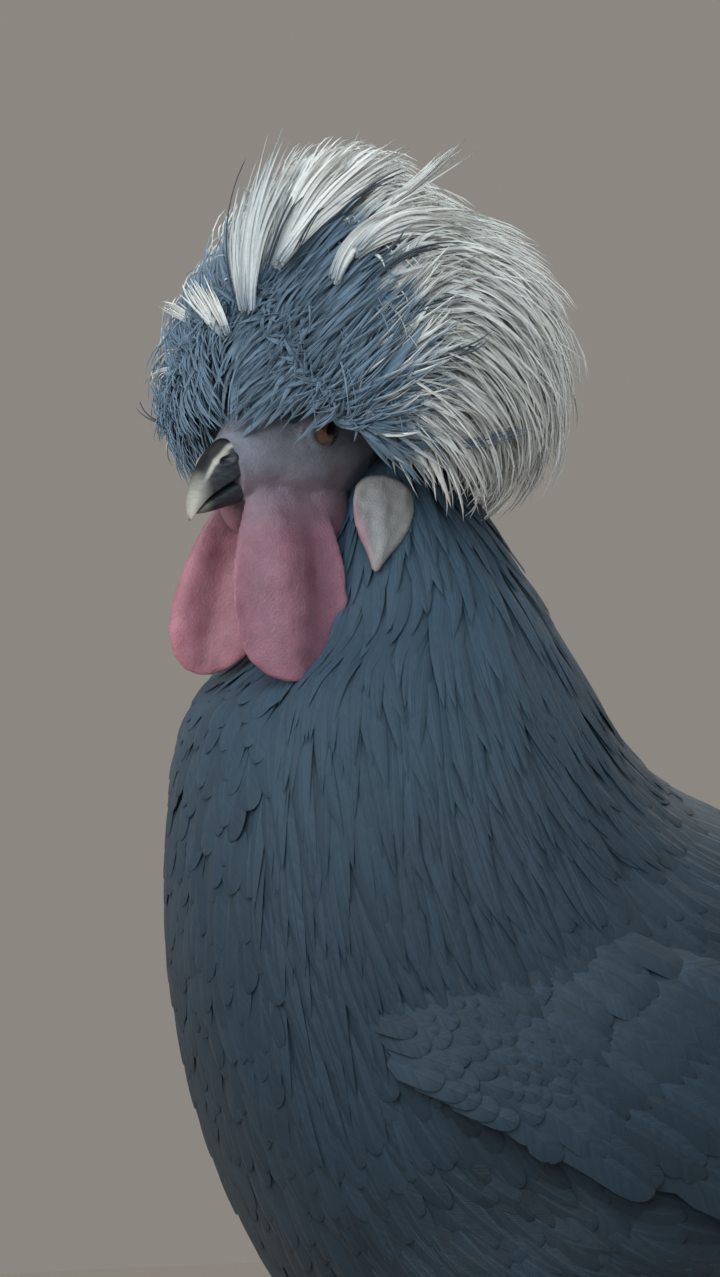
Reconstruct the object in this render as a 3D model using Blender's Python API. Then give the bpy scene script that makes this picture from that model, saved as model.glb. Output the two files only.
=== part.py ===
"""A standing Polish cock at life size, its crested head turned to its left and dipped a little.

The bird faces -Y, its left is +X and +Z is up. Sizes are written in millimetres and become metres as a
mesh is stored. Each named part of the body is one closed solid, and parts that touch keep GAP apart.
"""

import math
import random

import bmesh
import bpy
from mathutils import Matrix, Vector
from mathutils.bvhtree import BVHTree

MM = 0.001
GAP = 0.3

# The body's outline, tail stump to throat. Each row is one slanting section through the body:
# back y, back z, belly or breast y, its z, and half of the width there.
BODY_SECTIONS = (
    (180, 303, 187, 292, 7),
    (163, 298, 174, 266, 19),
    (142, 291, 150, 228, 33),
    (120, 290, 118, 185, 48),
    (98, 295, 82, 154, 61),
    (80, 302, 45, 141, 69),
    (68, 308, 8, 150, 71),
    (60, 314, -24, 176, 69),
    (52, 323, -45, 213, 65),
    (44, 337, -56, 255, 58),
    (38, 348, -58, 295, 50),
    (33, 357, -53, 326, 42),
    (27, 366, -38, 342, 34),
    (20, 377, -30, 357, 28),
    (12, 388, -25, 372, 23),
    (4, 398, -20, 387, 17),
)
BODY_RINGS = 26
BODY_SIDES = 20
BODY_FULLNESS = 2.2
TAIL_SECTION = 2
NECK_SECTION = 9

# The head, in its own frame: forward, left and up from the point midway between the eyes.
HEAD_AT = (11, -34, 397.5)
HEAD_YAW = 28
HEAD_PITCH = 16
# Each row: forward, top, bottom, half width.
HEAD_SECTIONS = (
    (-27, -1, -7, 3),
    (-24, 6, -14, 9.5),
    (-17, 12, -20, 14),
    (-8, 15, -22, 16),
    (1, 14, -21, 15.6),
    (8, 11, -18.5, 13),
    (14, 7.5, -15.5, 10),
    (19, 4.8, -12.8, 7.6),
    (22, 3.2, -11.5, 6.3),
)
EYE_OUT = 11.4
EYE_RADIUS = 5.8
LID_RADIUS = 7.3
LID_OPENING = (4.9, 3.8)

UPPER_BILL = ((18, 4.2, -5.2, 6.2), (22, 3.8, -6.0, 5.6), (27, 1.6, -7.0, 4.6), (31.5, -2.2, -8.2, 3.4),
              (34.8, -6.6, -10.2, 2.0), (36.4, -10.4, -11.8, 0.6))
LOWER_BILL = ((16, -6.0, -12.6, 5.4), (22, -6.4, -12.2, 4.9), (27, -7.4, -11.9, 4.0), (31.5, -8.6, -11.4, 2.7),
              (33.6, -9.9, -11.0, 1.2))
NOSTRIL_AT = (24.6, 4.6, 0.4)

# Each wattle: forward and outward place, how far it swings forward and out, top and bottom, half width, turn.
WATTLES = {"left": (7.5, 10, 3, 4, -11, -60.5, 15.3, 20), "right": (2.9, 5.8, 9.8, 8.5, -11, -60, 13.2, -38)}
WATTLE_THICKNESS = 2.0
WATTLE_FOLD = 1.4
# Its outline: share of the way down, share of the half width.
WATTLE_OUTLINE = ((0.0, 0.5), (0.14, 0.66), (0.3, 0.83), (0.47, 0.96), (0.64, 1.0), (0.79, 0.92), (0.9, 0.72),
                  (0.97, 0.44), (1.0, 0.14))

# The earlobes: forward and up place, half width, half height and thickness, and share of the half width downwards.
EARLOBE_AT = (-12.8, -23)
EARLOBE_SIZE = (8.1, 12.5, 2.2)
EARLOBE_OUTLINE = (0.78, 0.97, 0.99, 0.93, 0.78, 0.56, 0.3, 0.12)

# The crest: its middle, how far tips reach forward, sideways, up, back and down, its lean back, its core.
CREST_AT = (-14, 0, 20)
CREST_REACH = {"forward": 37, "side": 50, "up": 54, "back": 65, "down": 47}
CREST_LEAN = 0.2
# How much shorter or longer its feathers are, by height angle: behind, and flattened above the right front.
CREST_SAG = ((-60, 1.1), (-40, 1.16), (-10, 1.1), (4, 1.05), (16, 1.0), (28, 0.94), (40, 0.84), (52, 0.79), (64, 0.81),
             (76, 0.87), (90, 0.93))
CREST_DENT = ((-24, 0), (-12, 0.05), (0, 0.09), (10, 0.12), (20, 0.15), (30, 0.17), (44, 0.18), (60, 0.1), (75, 0.07),
              (90, 0.07))
CREST_CORE_AT = (-12, 0, 19)
CREST_CORE = (20, 21, 20)
# Rows of crest feathers on each side: height angle of the tips, first and last azimuth from ahead, count.
CREST_ROWS = ((-42, 62, 168, 6), (-19, 18, 171, 8), (3, 9, 171, 8), (25, 11, 169, 7), (46, 15, 165, 5),
              (67, 30, 150, 3), (86, 90, 90, 1))
# Feathers that stray out of the mass: azimuth, height angle, reach.
CREST_STRAYS = ((-20, 60, 1.06), (140, 52, 1.28), (128, 66, 1.16), (128, 6, 1.08), (140, -16, 1.04), (-52, -32, 1.06))
CREST_FEATHER = (6.8, 0.95)
# The plane that parts the dark front from the white rest: forward of the crest's middle, and its slant.
CREST_PARTING = (5, 64)

WING_CENTRE = (45, 228)
WING_BULGE = 77
WING_LENGTH_FALL, WING_HEIGHT_FALL = (105, 38), (72, 38)
WING_SHOULDER = (-16, 264)
WING_SLOPE = 15
# Tiers of wing feathers, from under to over: name, how many, first root, its step, first tip, its step,
# half width, lift at the tip. Places are along the wing from the shoulder and up from its axis.
WING_TIERS = (
    ("primary", 5, (80, -10), (3, -3.5), (190, -4), (-11, -6), 7.4, 1.2),
    ("secondary", 7, (36, -22), (6, 6.6), (120, -35), (7, 8.3), 9.0, 2.1),
    ("greater covert", 6, (20, -20), (7, 7.6), (60, -30), (8, 8.6), 8.0, 3.2),
    ("median covert", 5, (8, -15), (7, 8.6), (38, -24), (8, 10.2), 8.0, 4.2),
    ("bow", 4, (1, -9), (4, 9), (24, -18), (5, 11.6), 7.6, 5.0),
    ("shoulder", 3, (-6, -2), (3, 9), (11, -10), (4, 11.5), 7.2, 5.6),
)

TAIL_ROOT = (156, 276)
# The main tail on each side: count, height angle of the first and last feather, their lengths, half width.
TAIL_FAN = (5, 72, 26, 124, 100, 14)
# Curved feathers on each side: start y and z, rise, turn, length, half width, distance from the middle.
SICKLES = (
    ((146, 290), 66, 128, 238, 9.5, 6),
    ((142, 291), 62, 132, 178, 8.0, 9),
    ((140, 290), 50, 128, 148, 7.8, 12),
    ((138, 287), 38, 118, 118, 7.4, 16),
    ((137, 282), 24, 102, 92, 7.0, 19),
)

STANCE_X = 40
# The feathered thigh, from inside the body to past the hock: x, y, z, half depth, half width.
THIGH = ((28, 20, 232, 26, 14), (39, 26, 206, 36, 30), (42, 37, 174, 33, 28), (41, 48, 144, 22.5, 19.5),
         (40.5, 56, 124, 13.5, 12), (40, 60, 110, 8.6, 8.2), (40, 61, 98, 7, 7))
HOCK = (61, 106)
ANKLE = (41, 17)
SHANK_RADIUS = 5.0
# The shank: share of the way down, half depth and half width against its radius.
SHANK = ((0, 1.5, 1.4), (0.06, 1.45, 1.3), (0.16, 1.1, 1.0), (0.55, 1.0, 0.92), (0.88, 1.08, 1.02), (1, 1.18, 1.2))
SCUTES = 7
# Each toe: name, heading in degrees outward from straight ahead, length, root radius.
TOES = (("inner", -34, 41, 4.3), ("middle", 2, 56, 4.7), ("outer", 36, 46, 4.3), ("back", 165, 21, 3.9))
# A toe's run: share of its length, share of its radius, how far it is raised.
TOE_SHAPE = ((0, 1.0, 2.6), (0.22, 1.0, 1.5), (0.5, 0.92, 0.5), (0.78, 0.86, 0.1), (1, 0.66, 0.1))
CLAW_LENGTH = 10
SOLE_CUT = 0.7

COLOURS = {
    "dark_feather": (0.035, 0.05, 0.068),
    "dark_crest": (0.06, 0.085, 0.11),
    "white_feather": (0.72, 0.74, 0.70),
    "red_skin": (0.42, 0.09, 0.12),
    "white_lobe": (0.50, 0.51, 0.50),
    "horn": (0.12, 0.12, 0.13),
    "eye": (0.10, 0.03, 0.012),
    "slate_scale": (0.10, 0.115, 0.14),
}


def material(name):
    """One finish by name, made once."""
    if name in bpy.data.materials:
        return bpy.data.materials[name]
    made = bpy.data.materials.new(name)
    made.use_nodes = True
    shader = made.node_tree.nodes["Principled BSDF"]
    shader.inputs["Base Color"].default_value = (*COLOURS[name], 1)
    shader.inputs["Roughness"].default_value = 0.15 if name == "eye" else 0.55
    shader.inputs["Metallic"].default_value = 0
    return made


def solid(name, points, faces, finish="dark_feather"):
    """A mesh object from points in millimetres, its faces turned outwards."""
    shape = bmesh.new()
    corners = [shape.verts.new(Vector(p) * MM) for p in points]
    for face in faces:
        shape.faces.new([corners[i] for i in face])
    bmesh.ops.recalc_face_normals(shape, faces=shape.faces)
    mesh = bpy.data.meshes.new(name)
    shape.to_mesh(mesh)
    shape.free()
    mesh.shade_smooth()
    mesh.materials.append(material(finish))
    made = bpy.data.objects.new(name, mesh)
    bpy.context.scene.collection.objects.link(made)
    return made


def tube(rings):
    """Points and faces of a closed tube through rings of equal count, each end a fan to its middle."""
    count = len(rings[0])
    points = [p for ring in rings for p in ring]
    faces = []
    for row in range(len(rings) - 1):
        for i in range(count):
            j = (i + 1) % count
            faces.append((row * count + i, row * count + j, (row + 1) * count + j, (row + 1) * count + i))
    for row in (0, len(rings) - 1):
        middle = sum(rings[row], Vector()) / count
        points.append(middle)
        for i in range(count):
            faces.append((row * count + i, row * count + (i + 1) % count, len(points) - 1))
    return points, faces


def remove(thing):
    bpy.data.objects.remove(thing)


def combine(base, others, operation):
    """One Boolean of base with the other objects, applied, and those objects removed."""
    group = bpy.data.collections.new(base.name + "_pieces")
    bpy.context.scene.collection.children.link(group)
    for other in others:
        for old in list(other.users_collection):
            old.objects.unlink(other)
        group.objects.link(other)
    step = base.modifiers.new("combine", "BOOLEAN")
    step.operation = operation
    step.operand_type = "COLLECTION"
    step.collection = group
    step.solver = "MANIFOLD"
    graph = bpy.context.evaluated_depsgraph_get()
    mesh = bpy.data.meshes.new_from_object(base.evaluated_get(graph))
    base.modifiers.clear()
    base.data = mesh
    for other in list(group.objects):
        remove(other)
    bpy.data.collections.remove(group)
    keep_largest_shell(base)
    return base


def fuse(base, others):
    return combine(base, others, "UNION")


def carve(base, cutters):
    return combine(base, cutters, "DIFFERENCE")


def shell_volume(faces):
    total = 0
    for face in faces:
        a = face.verts[0].co
        for b, c in zip(face.verts[1:-1], face.verts[2:]):
            total += a.dot(b.co.cross(c.co))
    return abs(total)


def keep_largest_shell(thing):
    """Drops sealed hollows and loose scraps, so that the node is one closed surface."""
    shape = bmesh.new()
    shape.from_mesh(thing.data)
    unseen = set(shape.faces)
    shells = []
    while unseen:
        start = unseen.pop()
        shell, edge_of = {start}, [start]
        while edge_of:
            for edge in edge_of.pop().edges:
                for face in edge.link_faces:
                    if face in unseen:
                        unseen.remove(face)
                        shell.add(face)
                        edge_of.append(face)
        shells.append(shell)
    largest = max(shells, key=shell_volume)
    loose = [face for shell in shells if shell is not largest for face in shell]
    bmesh.ops.delete(shape, geom=loose, context="FACES")
    shape.to_mesh(thing.data)
    shape.free()


def grown(thing, by):
    """A copy of a smooth form with its surface moved out, to cut a neighbour clear of it."""
    shape = bmesh.new()
    shape.from_mesh(thing.data)
    bmesh.ops.recalc_face_normals(shape, faces=shape.faces)
    shape.normal_update()
    for corner in shape.verts:
        corner.co += corner.normal * by * MM
    mesh = bpy.data.meshes.new(thing.name + "_grown")
    shape.to_mesh(mesh)
    shape.free()
    made = bpy.data.objects.new(mesh.name, mesh)
    bpy.context.scene.collection.objects.link(made)
    return made


def split_at(thing, point, normal):
    """Keeps the side of a plane that its normal points from, and closes the cut flat."""
    shape = bmesh.new()
    shape.from_mesh(thing.data)
    everything = [*shape.verts, *shape.edges, *shape.faces]
    cut = bmesh.ops.bisect_plane(shape, geom=everything, plane_co=Vector(point) * MM, plane_no=normal,
                                 clear_outer=True)
    rim = [part for part in cut["geom_cut"] if isinstance(part, bmesh.types.BMEdge)]
    bmesh.ops.edgeloop_fill(shape, edges=rim)
    bmesh.ops.recalc_face_normals(shape, faces=shape.faces)
    shape.to_mesh(thing.data)
    shape.free()
    return thing


def smooth_row(rows, place):
    """The row at a place along a table, on a Catmull-Rom curve through its rows."""
    i = min(max(int(place), 0), len(rows) - 2)
    t = place - i
    b, c = rows[i], rows[i + 1]
    a = rows[i - 1] if i else [2 * p - q for p, q in zip(b, c)]
    d = rows[i + 2] if i + 2 < len(rows) else [2 * q - p for p, q in zip(b, c)]
    return [0.5 * (2 * q + (r - p) * t + (2 * p - 5 * q + 4 * r - s) * t ** 2 + (3 * q - p - 3 * r + s) * t ** 3)
            for p, q, r, s in zip(a, b, c, d)]


def full(value):
    """Squares a round section slightly."""
    return math.copysign(abs(value) ** (2 / BODY_FULLNESS), value)


def body_point(place, angle, lift=0.0):
    """A point on the body: place along BODY_SECTIONS, angle from the back round by the left, lift above it."""
    def at(place, angle):
        back_y, back_z, front_y, front_z, half_width = smooth_row(BODY_SECTIONS, place)
        along = full(math.cos(angle))
        return Vector((half_width * full(math.sin(angle)),
                       (back_y + front_y) / 2 + (back_y - front_y) / 2 * along,
                       (back_z + front_z) / 2 + (back_z - front_z) / 2 * along))
    point = at(place, angle)
    if lift:
        step = 0.02
        normal = (at(place, angle + step) - at(place, angle - step)).cross(at(place + step, angle) - at(place - step, angle))
        point += normal.normalized() * lift
    return point


def body_form(name, grow=0.0):
    """The whole body from tail stump to throat as one closed form."""
    last = len(BODY_SECTIONS) - 1
    rings = [[body_point(last * row / BODY_RINGS, 2 * math.pi * i / BODY_SIDES) for i in range(BODY_SIDES)]
             for row in range(BODY_RINGS + 1)]
    made = solid(name, *tube(rings))
    if grow:
        swollen = grown(made, grow)
        remove(made)
        return swollen
    return made


def section_plane(index):
    """The point and the headward normal of the plane of one row of BODY_SECTIONS."""
    back_y, back_z, front_y, front_z, _ = BODY_SECTIONS[index]
    along = Vector((0, back_y - front_y, back_z - front_z)).normalized()
    return Vector((0, (back_y + front_y) / 2, (back_z + front_z) / 2)), Vector((1, 0, 0)).cross(along)


def head_matrix(pitch=HEAD_PITCH):
    """Turns forward, left and up of the head into the bird's own axes."""
    yaw, dip = math.radians(HEAD_YAW), math.radians(pitch)
    forward = Vector((math.sin(yaw) * math.cos(dip), -math.cos(yaw) * math.cos(dip), -math.sin(dip)))
    left = Vector((math.cos(yaw), math.sin(yaw), 0))
    up = forward.cross(left)
    return Matrix((forward, left, up)).transposed()


def on_head(point):
    return Vector(HEAD_AT) + head_matrix() @ Vector(point)


def by_head(point):
    """As on_head, but level: for what hangs or stands by its own weight."""
    return Vector(HEAD_AT) + head_matrix(0) @ Vector(point)


def head_form(name, grow=0.0):
    rings = []
    for row in range(13):
        forward, top, bottom, half_width = smooth_row(HEAD_SECTIONS, row * (len(HEAD_SECTIONS) - 1) / 12)
        middle, half = (top + bottom) / 2, (top - bottom) / 2
        rings.append([on_head((forward, half_width * math.sin(a), middle + half * math.cos(a)))
                      for a in (2 * math.pi * i / 16 for i in range(16))])
    made = solid(name, *tube(rings), "red_skin")
    if grow:
        swollen = grown(made, grow)
        remove(made)
        return swollen
    return made


def ellipsoid(name, centre, radii, turn=Matrix.Identity(3), around=14, rows=9, finish="dark_feather"):
    """A closed ellipsoid whose own axes are the columns of turn."""
    rings = []
    for row in range(rows):
        polar = math.pi * (row + 0.5) / rows
        rings.append([centre + turn @ Vector((radii[0] * math.sin(polar) * math.cos(a),
                                              radii[1] * math.sin(polar) * math.sin(a),
                                              radii[2] * math.cos(polar)))
                      for a in (2 * math.pi * i / around for i in range(around))])
    points, faces = tube(rings)
    points[-2] = centre + turn @ Vector((0, 0, radii[2]))
    points[-1] = centre + turn @ Vector((0, 0, -radii[2]))
    return solid(name, points, faces, finish)


def vane(name, centres, sides, half_widths, half_thickness, finish="dark_feather"):
    """A feather: a thin diamond section along its centres that ends in one point, both faces cut alike."""
    points, faces = [], []
    for i, centre in enumerate(centres[:-1]):
        along = centres[i + 1] - centres[max(i - 1, 0)]
        out = sides[i].cross(along).normalized() * half_thickness
        side = sides[i].normalized() * half_widths[i]
        points += [centre - side, centre + out, centre + side, centre - out]
    points.append(centres[-1])
    for row in range(len(centres) - 2):
        here, there = 4 * row, 4 * row + 4
        for edge in (0, 2):
            for ridge in (1, 3):
                faces.append((here + edge, here + ridge, there + ridge))
                faces.append((here + edge, there + ridge, there + edge))
    faces += [(0, 1, 2), (0, 2, 3)]
    end = len(points) - 5
    faces += [(end + i, end + (i + 1) % 4, len(points) - 1) for i in range(4)]
    return solid(name, points, faces, finish)


def arc(start, bend, end, count):
    """Points along a curve from start to end that leans towards bend."""
    return [start.lerp(bend, t).lerp(bend.lerp(end, t), t) for t in (i / (count - 1) for i in range(count))]


def make_trunk():
    """The torso, the neck and the tail's core, parted from one form by thin cuts."""
    neck_at, headward = section_plane(NECK_SECTION)
    tail_at, tail_headward = section_plane(TAIL_SECTION)
    half_gap = GAP / 2
    torso = body_form("torso")
    split_at(torso, neck_at - headward * half_gap, headward)
    split_at(torso, tail_at + tail_headward * half_gap, -tail_headward)
    neck = body_form("neck")
    split_at(neck, neck_at + headward * half_gap, -headward)
    carve(neck, [head_form("head_cutter", GAP)])
    tail = body_form("tail")
    split_at(tail, tail_at - tail_headward * half_gap, tail_headward)
    return torso, neck, tail


def make_head():
    """The head with its lids, open over each eye."""
    head = head_form("head")
    turn = head_matrix()
    lids, holes = [], []
    for side in (1, -1):
        eye = on_head((0, side * EYE_OUT, 0))
        lids.append(ellipsoid("lid", on_head((0, side * (EYE_OUT - 0.3), 0)), (LID_RADIUS,) * 3, turn, 12, 8, "red_skin"))
        holes.append(ellipsoid("socket", eye, (EYE_RADIUS + GAP,) * 3, turn, 10, 7))
        opening = on_head((0, side * (EYE_OUT + LID_RADIUS - 1), 0))
        holes.append(ellipsoid("opening", opening, (LID_OPENING[0], 5, LID_OPENING[1]), turn, 12, 6))
    fuse(head, lids)
    carve(head, holes)
    for side, word in ((1, "left"), (-1, "right")):
        ellipsoid("eye_" + word, on_head((0, side * EYE_OUT, 0)), (EYE_RADIUS,) * 3, turn, 10, 7, "eye")
    return head


def bill_half(name, sections, belly_share):
    """Half of the bill, rounded outside and nearly flat where the mouth closes."""
    rings = []
    for row in range(2 * len(sections) - 1):
        forward, top, bottom, half_width = smooth_row(sections, row / 2)
        middle = bottom + (top - bottom) * belly_share
        ring = []
        for i in range(10):
            angle = 2 * math.pi * i / 10
            height = top - middle if math.cos(angle) > 0 else middle - bottom
            ring.append(on_head((forward, half_width * math.sin(angle), middle + height * math.cos(angle))))
        rings.append(ring)
    return solid(name, *tube(rings), "horn")


def make_bill():
    upper = bill_half("bill_upper", UPPER_BILL, 0.2)
    lower = bill_half("bill_lower", LOWER_BILL, 0.82)
    turn = head_matrix()
    rims, pits = [], []
    forward, out, up = NOSTRIL_AT
    for side in (1, -1):
        rims.append(ellipsoid("rim", on_head((forward - 0.4, side * (out - 0.7), up)), (3.2, 1.5, 2.1), turn, 10, 6))
        pits.append(ellipsoid("pit", on_head((forward, side * (out + 0.5), up - 0.2)), (1.9, 1.0, 0.9), turn, 8, 5))
    fuse(upper, rims)
    carve(upper, pits + [head_form("head_cutter", GAP)])
    carve(lower, [head_form("head_cutter", GAP)])


def make_wattles():
    """Two hanging lobes beside each other under the bill, narrow above, round below, with soft folds."""
    count = 8
    spread = [math.cos(math.pi * i / count) * 0.35 + (1 - 2 * i / count) * 0.65 for i in range(count + 1)]
    section = [(x, 1) for x in spread] + [(x, -1) for x in spread[-2:0:-1]]
    for side, word in ((1, "left"), (-1, "right")):
        ahead, outward, swing, spread, top, bottom, half_width, turn = WATTLES[word]
        turn = math.radians(turn) * side
        across = Vector((math.cos(turn), -math.sin(turn), 0))
        out = Vector((math.sin(turn), math.cos(turn), 0)) * side
        rings = []
        for down, width in WATTLE_OUTLINE:
            thick = WATTLE_THICKNESS * (1.25 - 0.45 * down) * (1 if width > 0.6 else 0.75)
            middle = Vector((ahead + swing * down, side * (outward + spread * down), top + (bottom - top) * down))
            ring = []
            for sideways, face in section:
                bulge = face * thick * max(0.0, 1 - sideways ** 2) ** 0.5
                fold = WATTLE_FOLD * math.sin(4.4 * sideways * width + 0.5 + 1.2 * down) * math.sin(2.5 * down + 0.2)
                ring.append(by_head(middle + across * half_width * width * sideways + out * (bulge + fold)))
            rings.append(ring)
        wattle = solid("wattle_" + word, *tube(rings), "red_skin")
        carve(wattle, [head_form("head_cutter", GAP), body_form("body_cutter", GAP)])


def surface_hit(form, start, direction):
    """The point and normal where a ray first leaves a form, in millimetres."""
    graph = bpy.context.evaluated_depsgraph_get()
    tree = BVHTree.FromObject(form, graph)
    hit, normal, _, _ = tree.ray_cast(Vector(start) * MM, direction)
    return hit / MM, normal


def make_earlobes():
    """A flat drop-shaped lobe behind and below each eye, lying on the neck's side."""
    form = body_form("surface")
    forward, up = EARLOBE_AT
    for side, word in ((1, "left"), (-1, "right")):
        outward = head_matrix(0) @ Vector((0, side, 0))
        start = by_head((forward, side * 60, up))
        spot, normal = surface_hit(form, start, -outward)
        normal = (normal + outward).normalized()
        down = Vector((0, 0, -1))
        down = (down - normal * normal.dot(down) + head_matrix(0) @ Vector((0.25, 0, 0))).normalized()
        across = down.cross(normal).normalized()
        rings = []
        for row, share in enumerate(EARLOBE_OUTLINE):
            place = -1 + 2 * (row + 0.5) / len(EARLOBE_OUTLINE)
            width = EARLOBE_SIZE[0] * share
            thick = EARLOBE_SIZE[2] * min(1, 1.5 * share) ** 0.5
            rings.append([spot + down * EARLOBE_SIZE[1] * place + across * width * math.cos(a)
                          + normal * (1.9 + thick * math.sin(a))
                          for a in (2 * math.pi * i / 10 for i in range(10))])
        lobe = solid("earlobe_" + word, *tube(rings), "white_lobe")
        carve(lobe, [head_form("head_cutter", GAP), body_form("body_cutter", GAP),
                     grown(bpy.data.objects["wattle_" + word], GAP)])
    remove(form)


def along(rows, place):
    """Reads a table of places and values, straight between its rows."""
    for (a, low), (b, high) in zip(rows, rows[1:]):
        if place <= b:
            return low + (high - low) * max(0.0, (place - a) / (b - a))
    return rows[-1][1]


def crest_tip(azimuth, height, reach):
    """Where a crest feather ends, in the level head frame."""
    turn, tilt = math.radians(azimuth), math.radians(height)
    behind = min(1.0, max(0.0, (abs((azimuth + 180) % 360 - 180) - 65) / 45))
    dent = 1 - along(CREST_DENT, height) * max(math.cos(turn + 0.9), 0, height / 90 - 0.2)
    reach *= behind * along(CREST_SAG, height) + (1 - behind) * dent
    ahead = CREST_REACH["forward"] if math.cos(turn) > 0 else CREST_REACH["back"]
    rise = CREST_REACH["up"] if height > 0 else CREST_REACH["down"]
    up = rise * math.sin(tilt)
    return Vector(CREST_AT) + reach * Vector((ahead * math.cos(turn) * math.cos(tilt) - CREST_LEAN * max(up, 0),
                                              CREST_REACH["side"] * math.sin(turn) * math.cos(tilt), up))


def crest_feather(azimuth, height, reach, roll, finish):
    """One long feather that leaves the core steeply and bends over towards its tip."""
    turn, tilt = math.radians(azimuth), math.radians(height)
    leave = math.radians(0.62 * height + 24)
    way = Vector((math.cos(turn) * math.cos(leave), math.sin(turn) * math.cos(leave), math.sin(leave)))
    root = Vector(CREST_CORE_AT) + 0.72 * Vector([r * w for r, w in zip(CREST_CORE, way)])
    tip = crest_tip(azimuth, height, reach)
    bend = root.lerp(tip, 0.55) + way * 9 + Vector((0, 0, 5 * math.cos(tilt)))
    centres = arc(root, bend, tip, 5)
    across = Vector((-math.sin(turn), math.cos(turn), 0))
    run = (tip - root).normalized()
    across = (Matrix.Rotation(roll, 3, run) @ (across - run * run.dot(across))).normalized()
    half, thick = CREST_FEATHER
    return vane("feather", [by_head(c) for c in centres], [head_matrix(0) @ across] * 5,
                [half * share for share in (0.4, 0.8, 1, 0.82, 0)], thick, finish)


def make_crest():
    """The crest: feathers in rows fused to a round core, parted into its dark front and its white rest."""
    forward, slant = CREST_PARTING
    level = head_matrix(0)
    to_white = Vector((-math.sin(math.radians(slant)), 0, math.cos(math.radians(slant))))
    plane_at = Vector(CREST_AT) + Vector((forward, 0, 0))
    rng = random.Random(7)
    wanted = []
    for height, first, last, count in CREST_ROWS:
        for i in range(2 * count):
            azimuth = (first + (last - first) * (i // 2) / max(count - 1, 1)) * (1 - 2 * (i % 2)) + rng.uniform(-4, 4)
            reach = rng.uniform(0.91, 1.04)
            wanted.append((azimuth, height + rng.uniform(-4, 4), reach, rng.choice((-1, 1))))
    wanted += [(azimuth, height, reach, 1) for azimuth, height, reach in CREST_STRAYS]
    clear = [head_form("head_cutter", GAP), body_form("body_cutter", GAP)]
    clear += [ellipsoid("lid", on_head((0, s * (EYE_OUT + 3), -0.5)), (9.5, 13, 9), head_matrix()) for s in (1, -1)]
    clear += [grown(bpy.data.objects["earlobe_" + word], GAP) for word in ("left", "right")]
    for name, sign, finish in (("crest_front", -1, "dark_crest"), ("crest_crown", 1, "white_feather")):
        core = ellipsoid(name, by_head(CREST_CORE_AT), CREST_CORE, level, 12, 7, finish)
        feathers = []
        for azimuth, height, reach, roll in wanted:
            tip = crest_tip(azimuth, height, reach)
            if sign * (tip - plane_at).dot(to_white) > 0:
                feathers.append(crest_feather(azimuth, height, reach, math.radians(16) * roll, finish))
        fuse(core, feathers)
        half_space = slab_beyond(by_head(plane_at + to_white * sign * GAP / 2), level @ (to_white * -sign))
        carve(core, [half_space])
    for name in ("crest_front", "crest_crown"):
        carve(bpy.data.objects[name], [copy_of(thing) for thing in clear])
    for thing in clear:
        remove(thing)


def copy_of(thing):
    made = bpy.data.objects.new(thing.name + "_copy", thing.data.copy())
    bpy.context.scene.collection.objects.link(made)
    return made


def slab_beyond(point, normal):
    """A large block whose near face is a plane, filling what lies beyond it."""
    turn = normal.to_track_quat("Z", "Y").to_matrix()
    corners = [point + turn @ Vector((x, y, z)) for z in (0, 300) for x, y in ((-200, -200), (200, -200), (200, 200), (-200, 200))]
    faces = ((0, 1, 2, 3), (4, 5, 6, 7), (0, 1, 5, 4), (1, 2, 6, 5), (2, 3, 7, 6), (3, 0, 4, 7))
    return solid("beyond", corners, faces)


def wing_surface(y, z, lift=0.0):
    """How far out the folded wing lies, over the body's side."""
    along, height = (y - WING_CENTRE[0]) / WING_LENGTH_FALL[0], (z - WING_CENTRE[1]) / WING_HEIGHT_FALL[0]
    return WING_BULGE - WING_LENGTH_FALL[1] * along ** 2 - WING_HEIGHT_FALL[1] * height ** 2 + lift


def on_wing(side, along, up, lift=0.0):
    """A point on the folded wing: along it from the shoulder, up from its axis, lifted off its surface."""
    slope = math.radians(WING_SLOPE)
    y = WING_SHOULDER[0] + along * math.cos(slope) + up * math.sin(slope)
    z = WING_SHOULDER[1] - along * math.sin(slope) + up * math.cos(slope)
    return Vector((side * (wing_surface(y, z) + lift), y, z))


def wing_feather(side, root, tip, half_width, lift):
    """One feather along the wing's surface, rising from under the tier over it to its own tip."""
    def at(share):
        up = root[1] + (tip[1] - root[1]) * share + 3 * math.sin(math.pi * share)
        along = root[0] + (tip[0] - root[0]) * share
        return on_wing(side, along, up, -1.2 + (lift + 1.2) * min(1, 1.6 * share))
    short = math.dist(root, tip) < 60
    shares = (0, 0.4, 0.82, 1) if short else (0, 0.35, 0.88, 1)
    widths = (0.6, 1, 0.84, 0) if short else (0.6, 1, 0.8, 0)
    centres = [at(share) for share in shares]
    sides = []
    for share in shares:
        up = root[1] + (tip[1] - root[1]) * share + 3 * math.sin(math.pi * share)
        along = root[0] + (tip[0] - root[0]) * share
        sides.append(on_wing(side, along, up + 4) - on_wing(side, along, up - 4))
    return vane("feather", centres, sides, [half_width * w for w in widths], 0.75)


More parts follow.
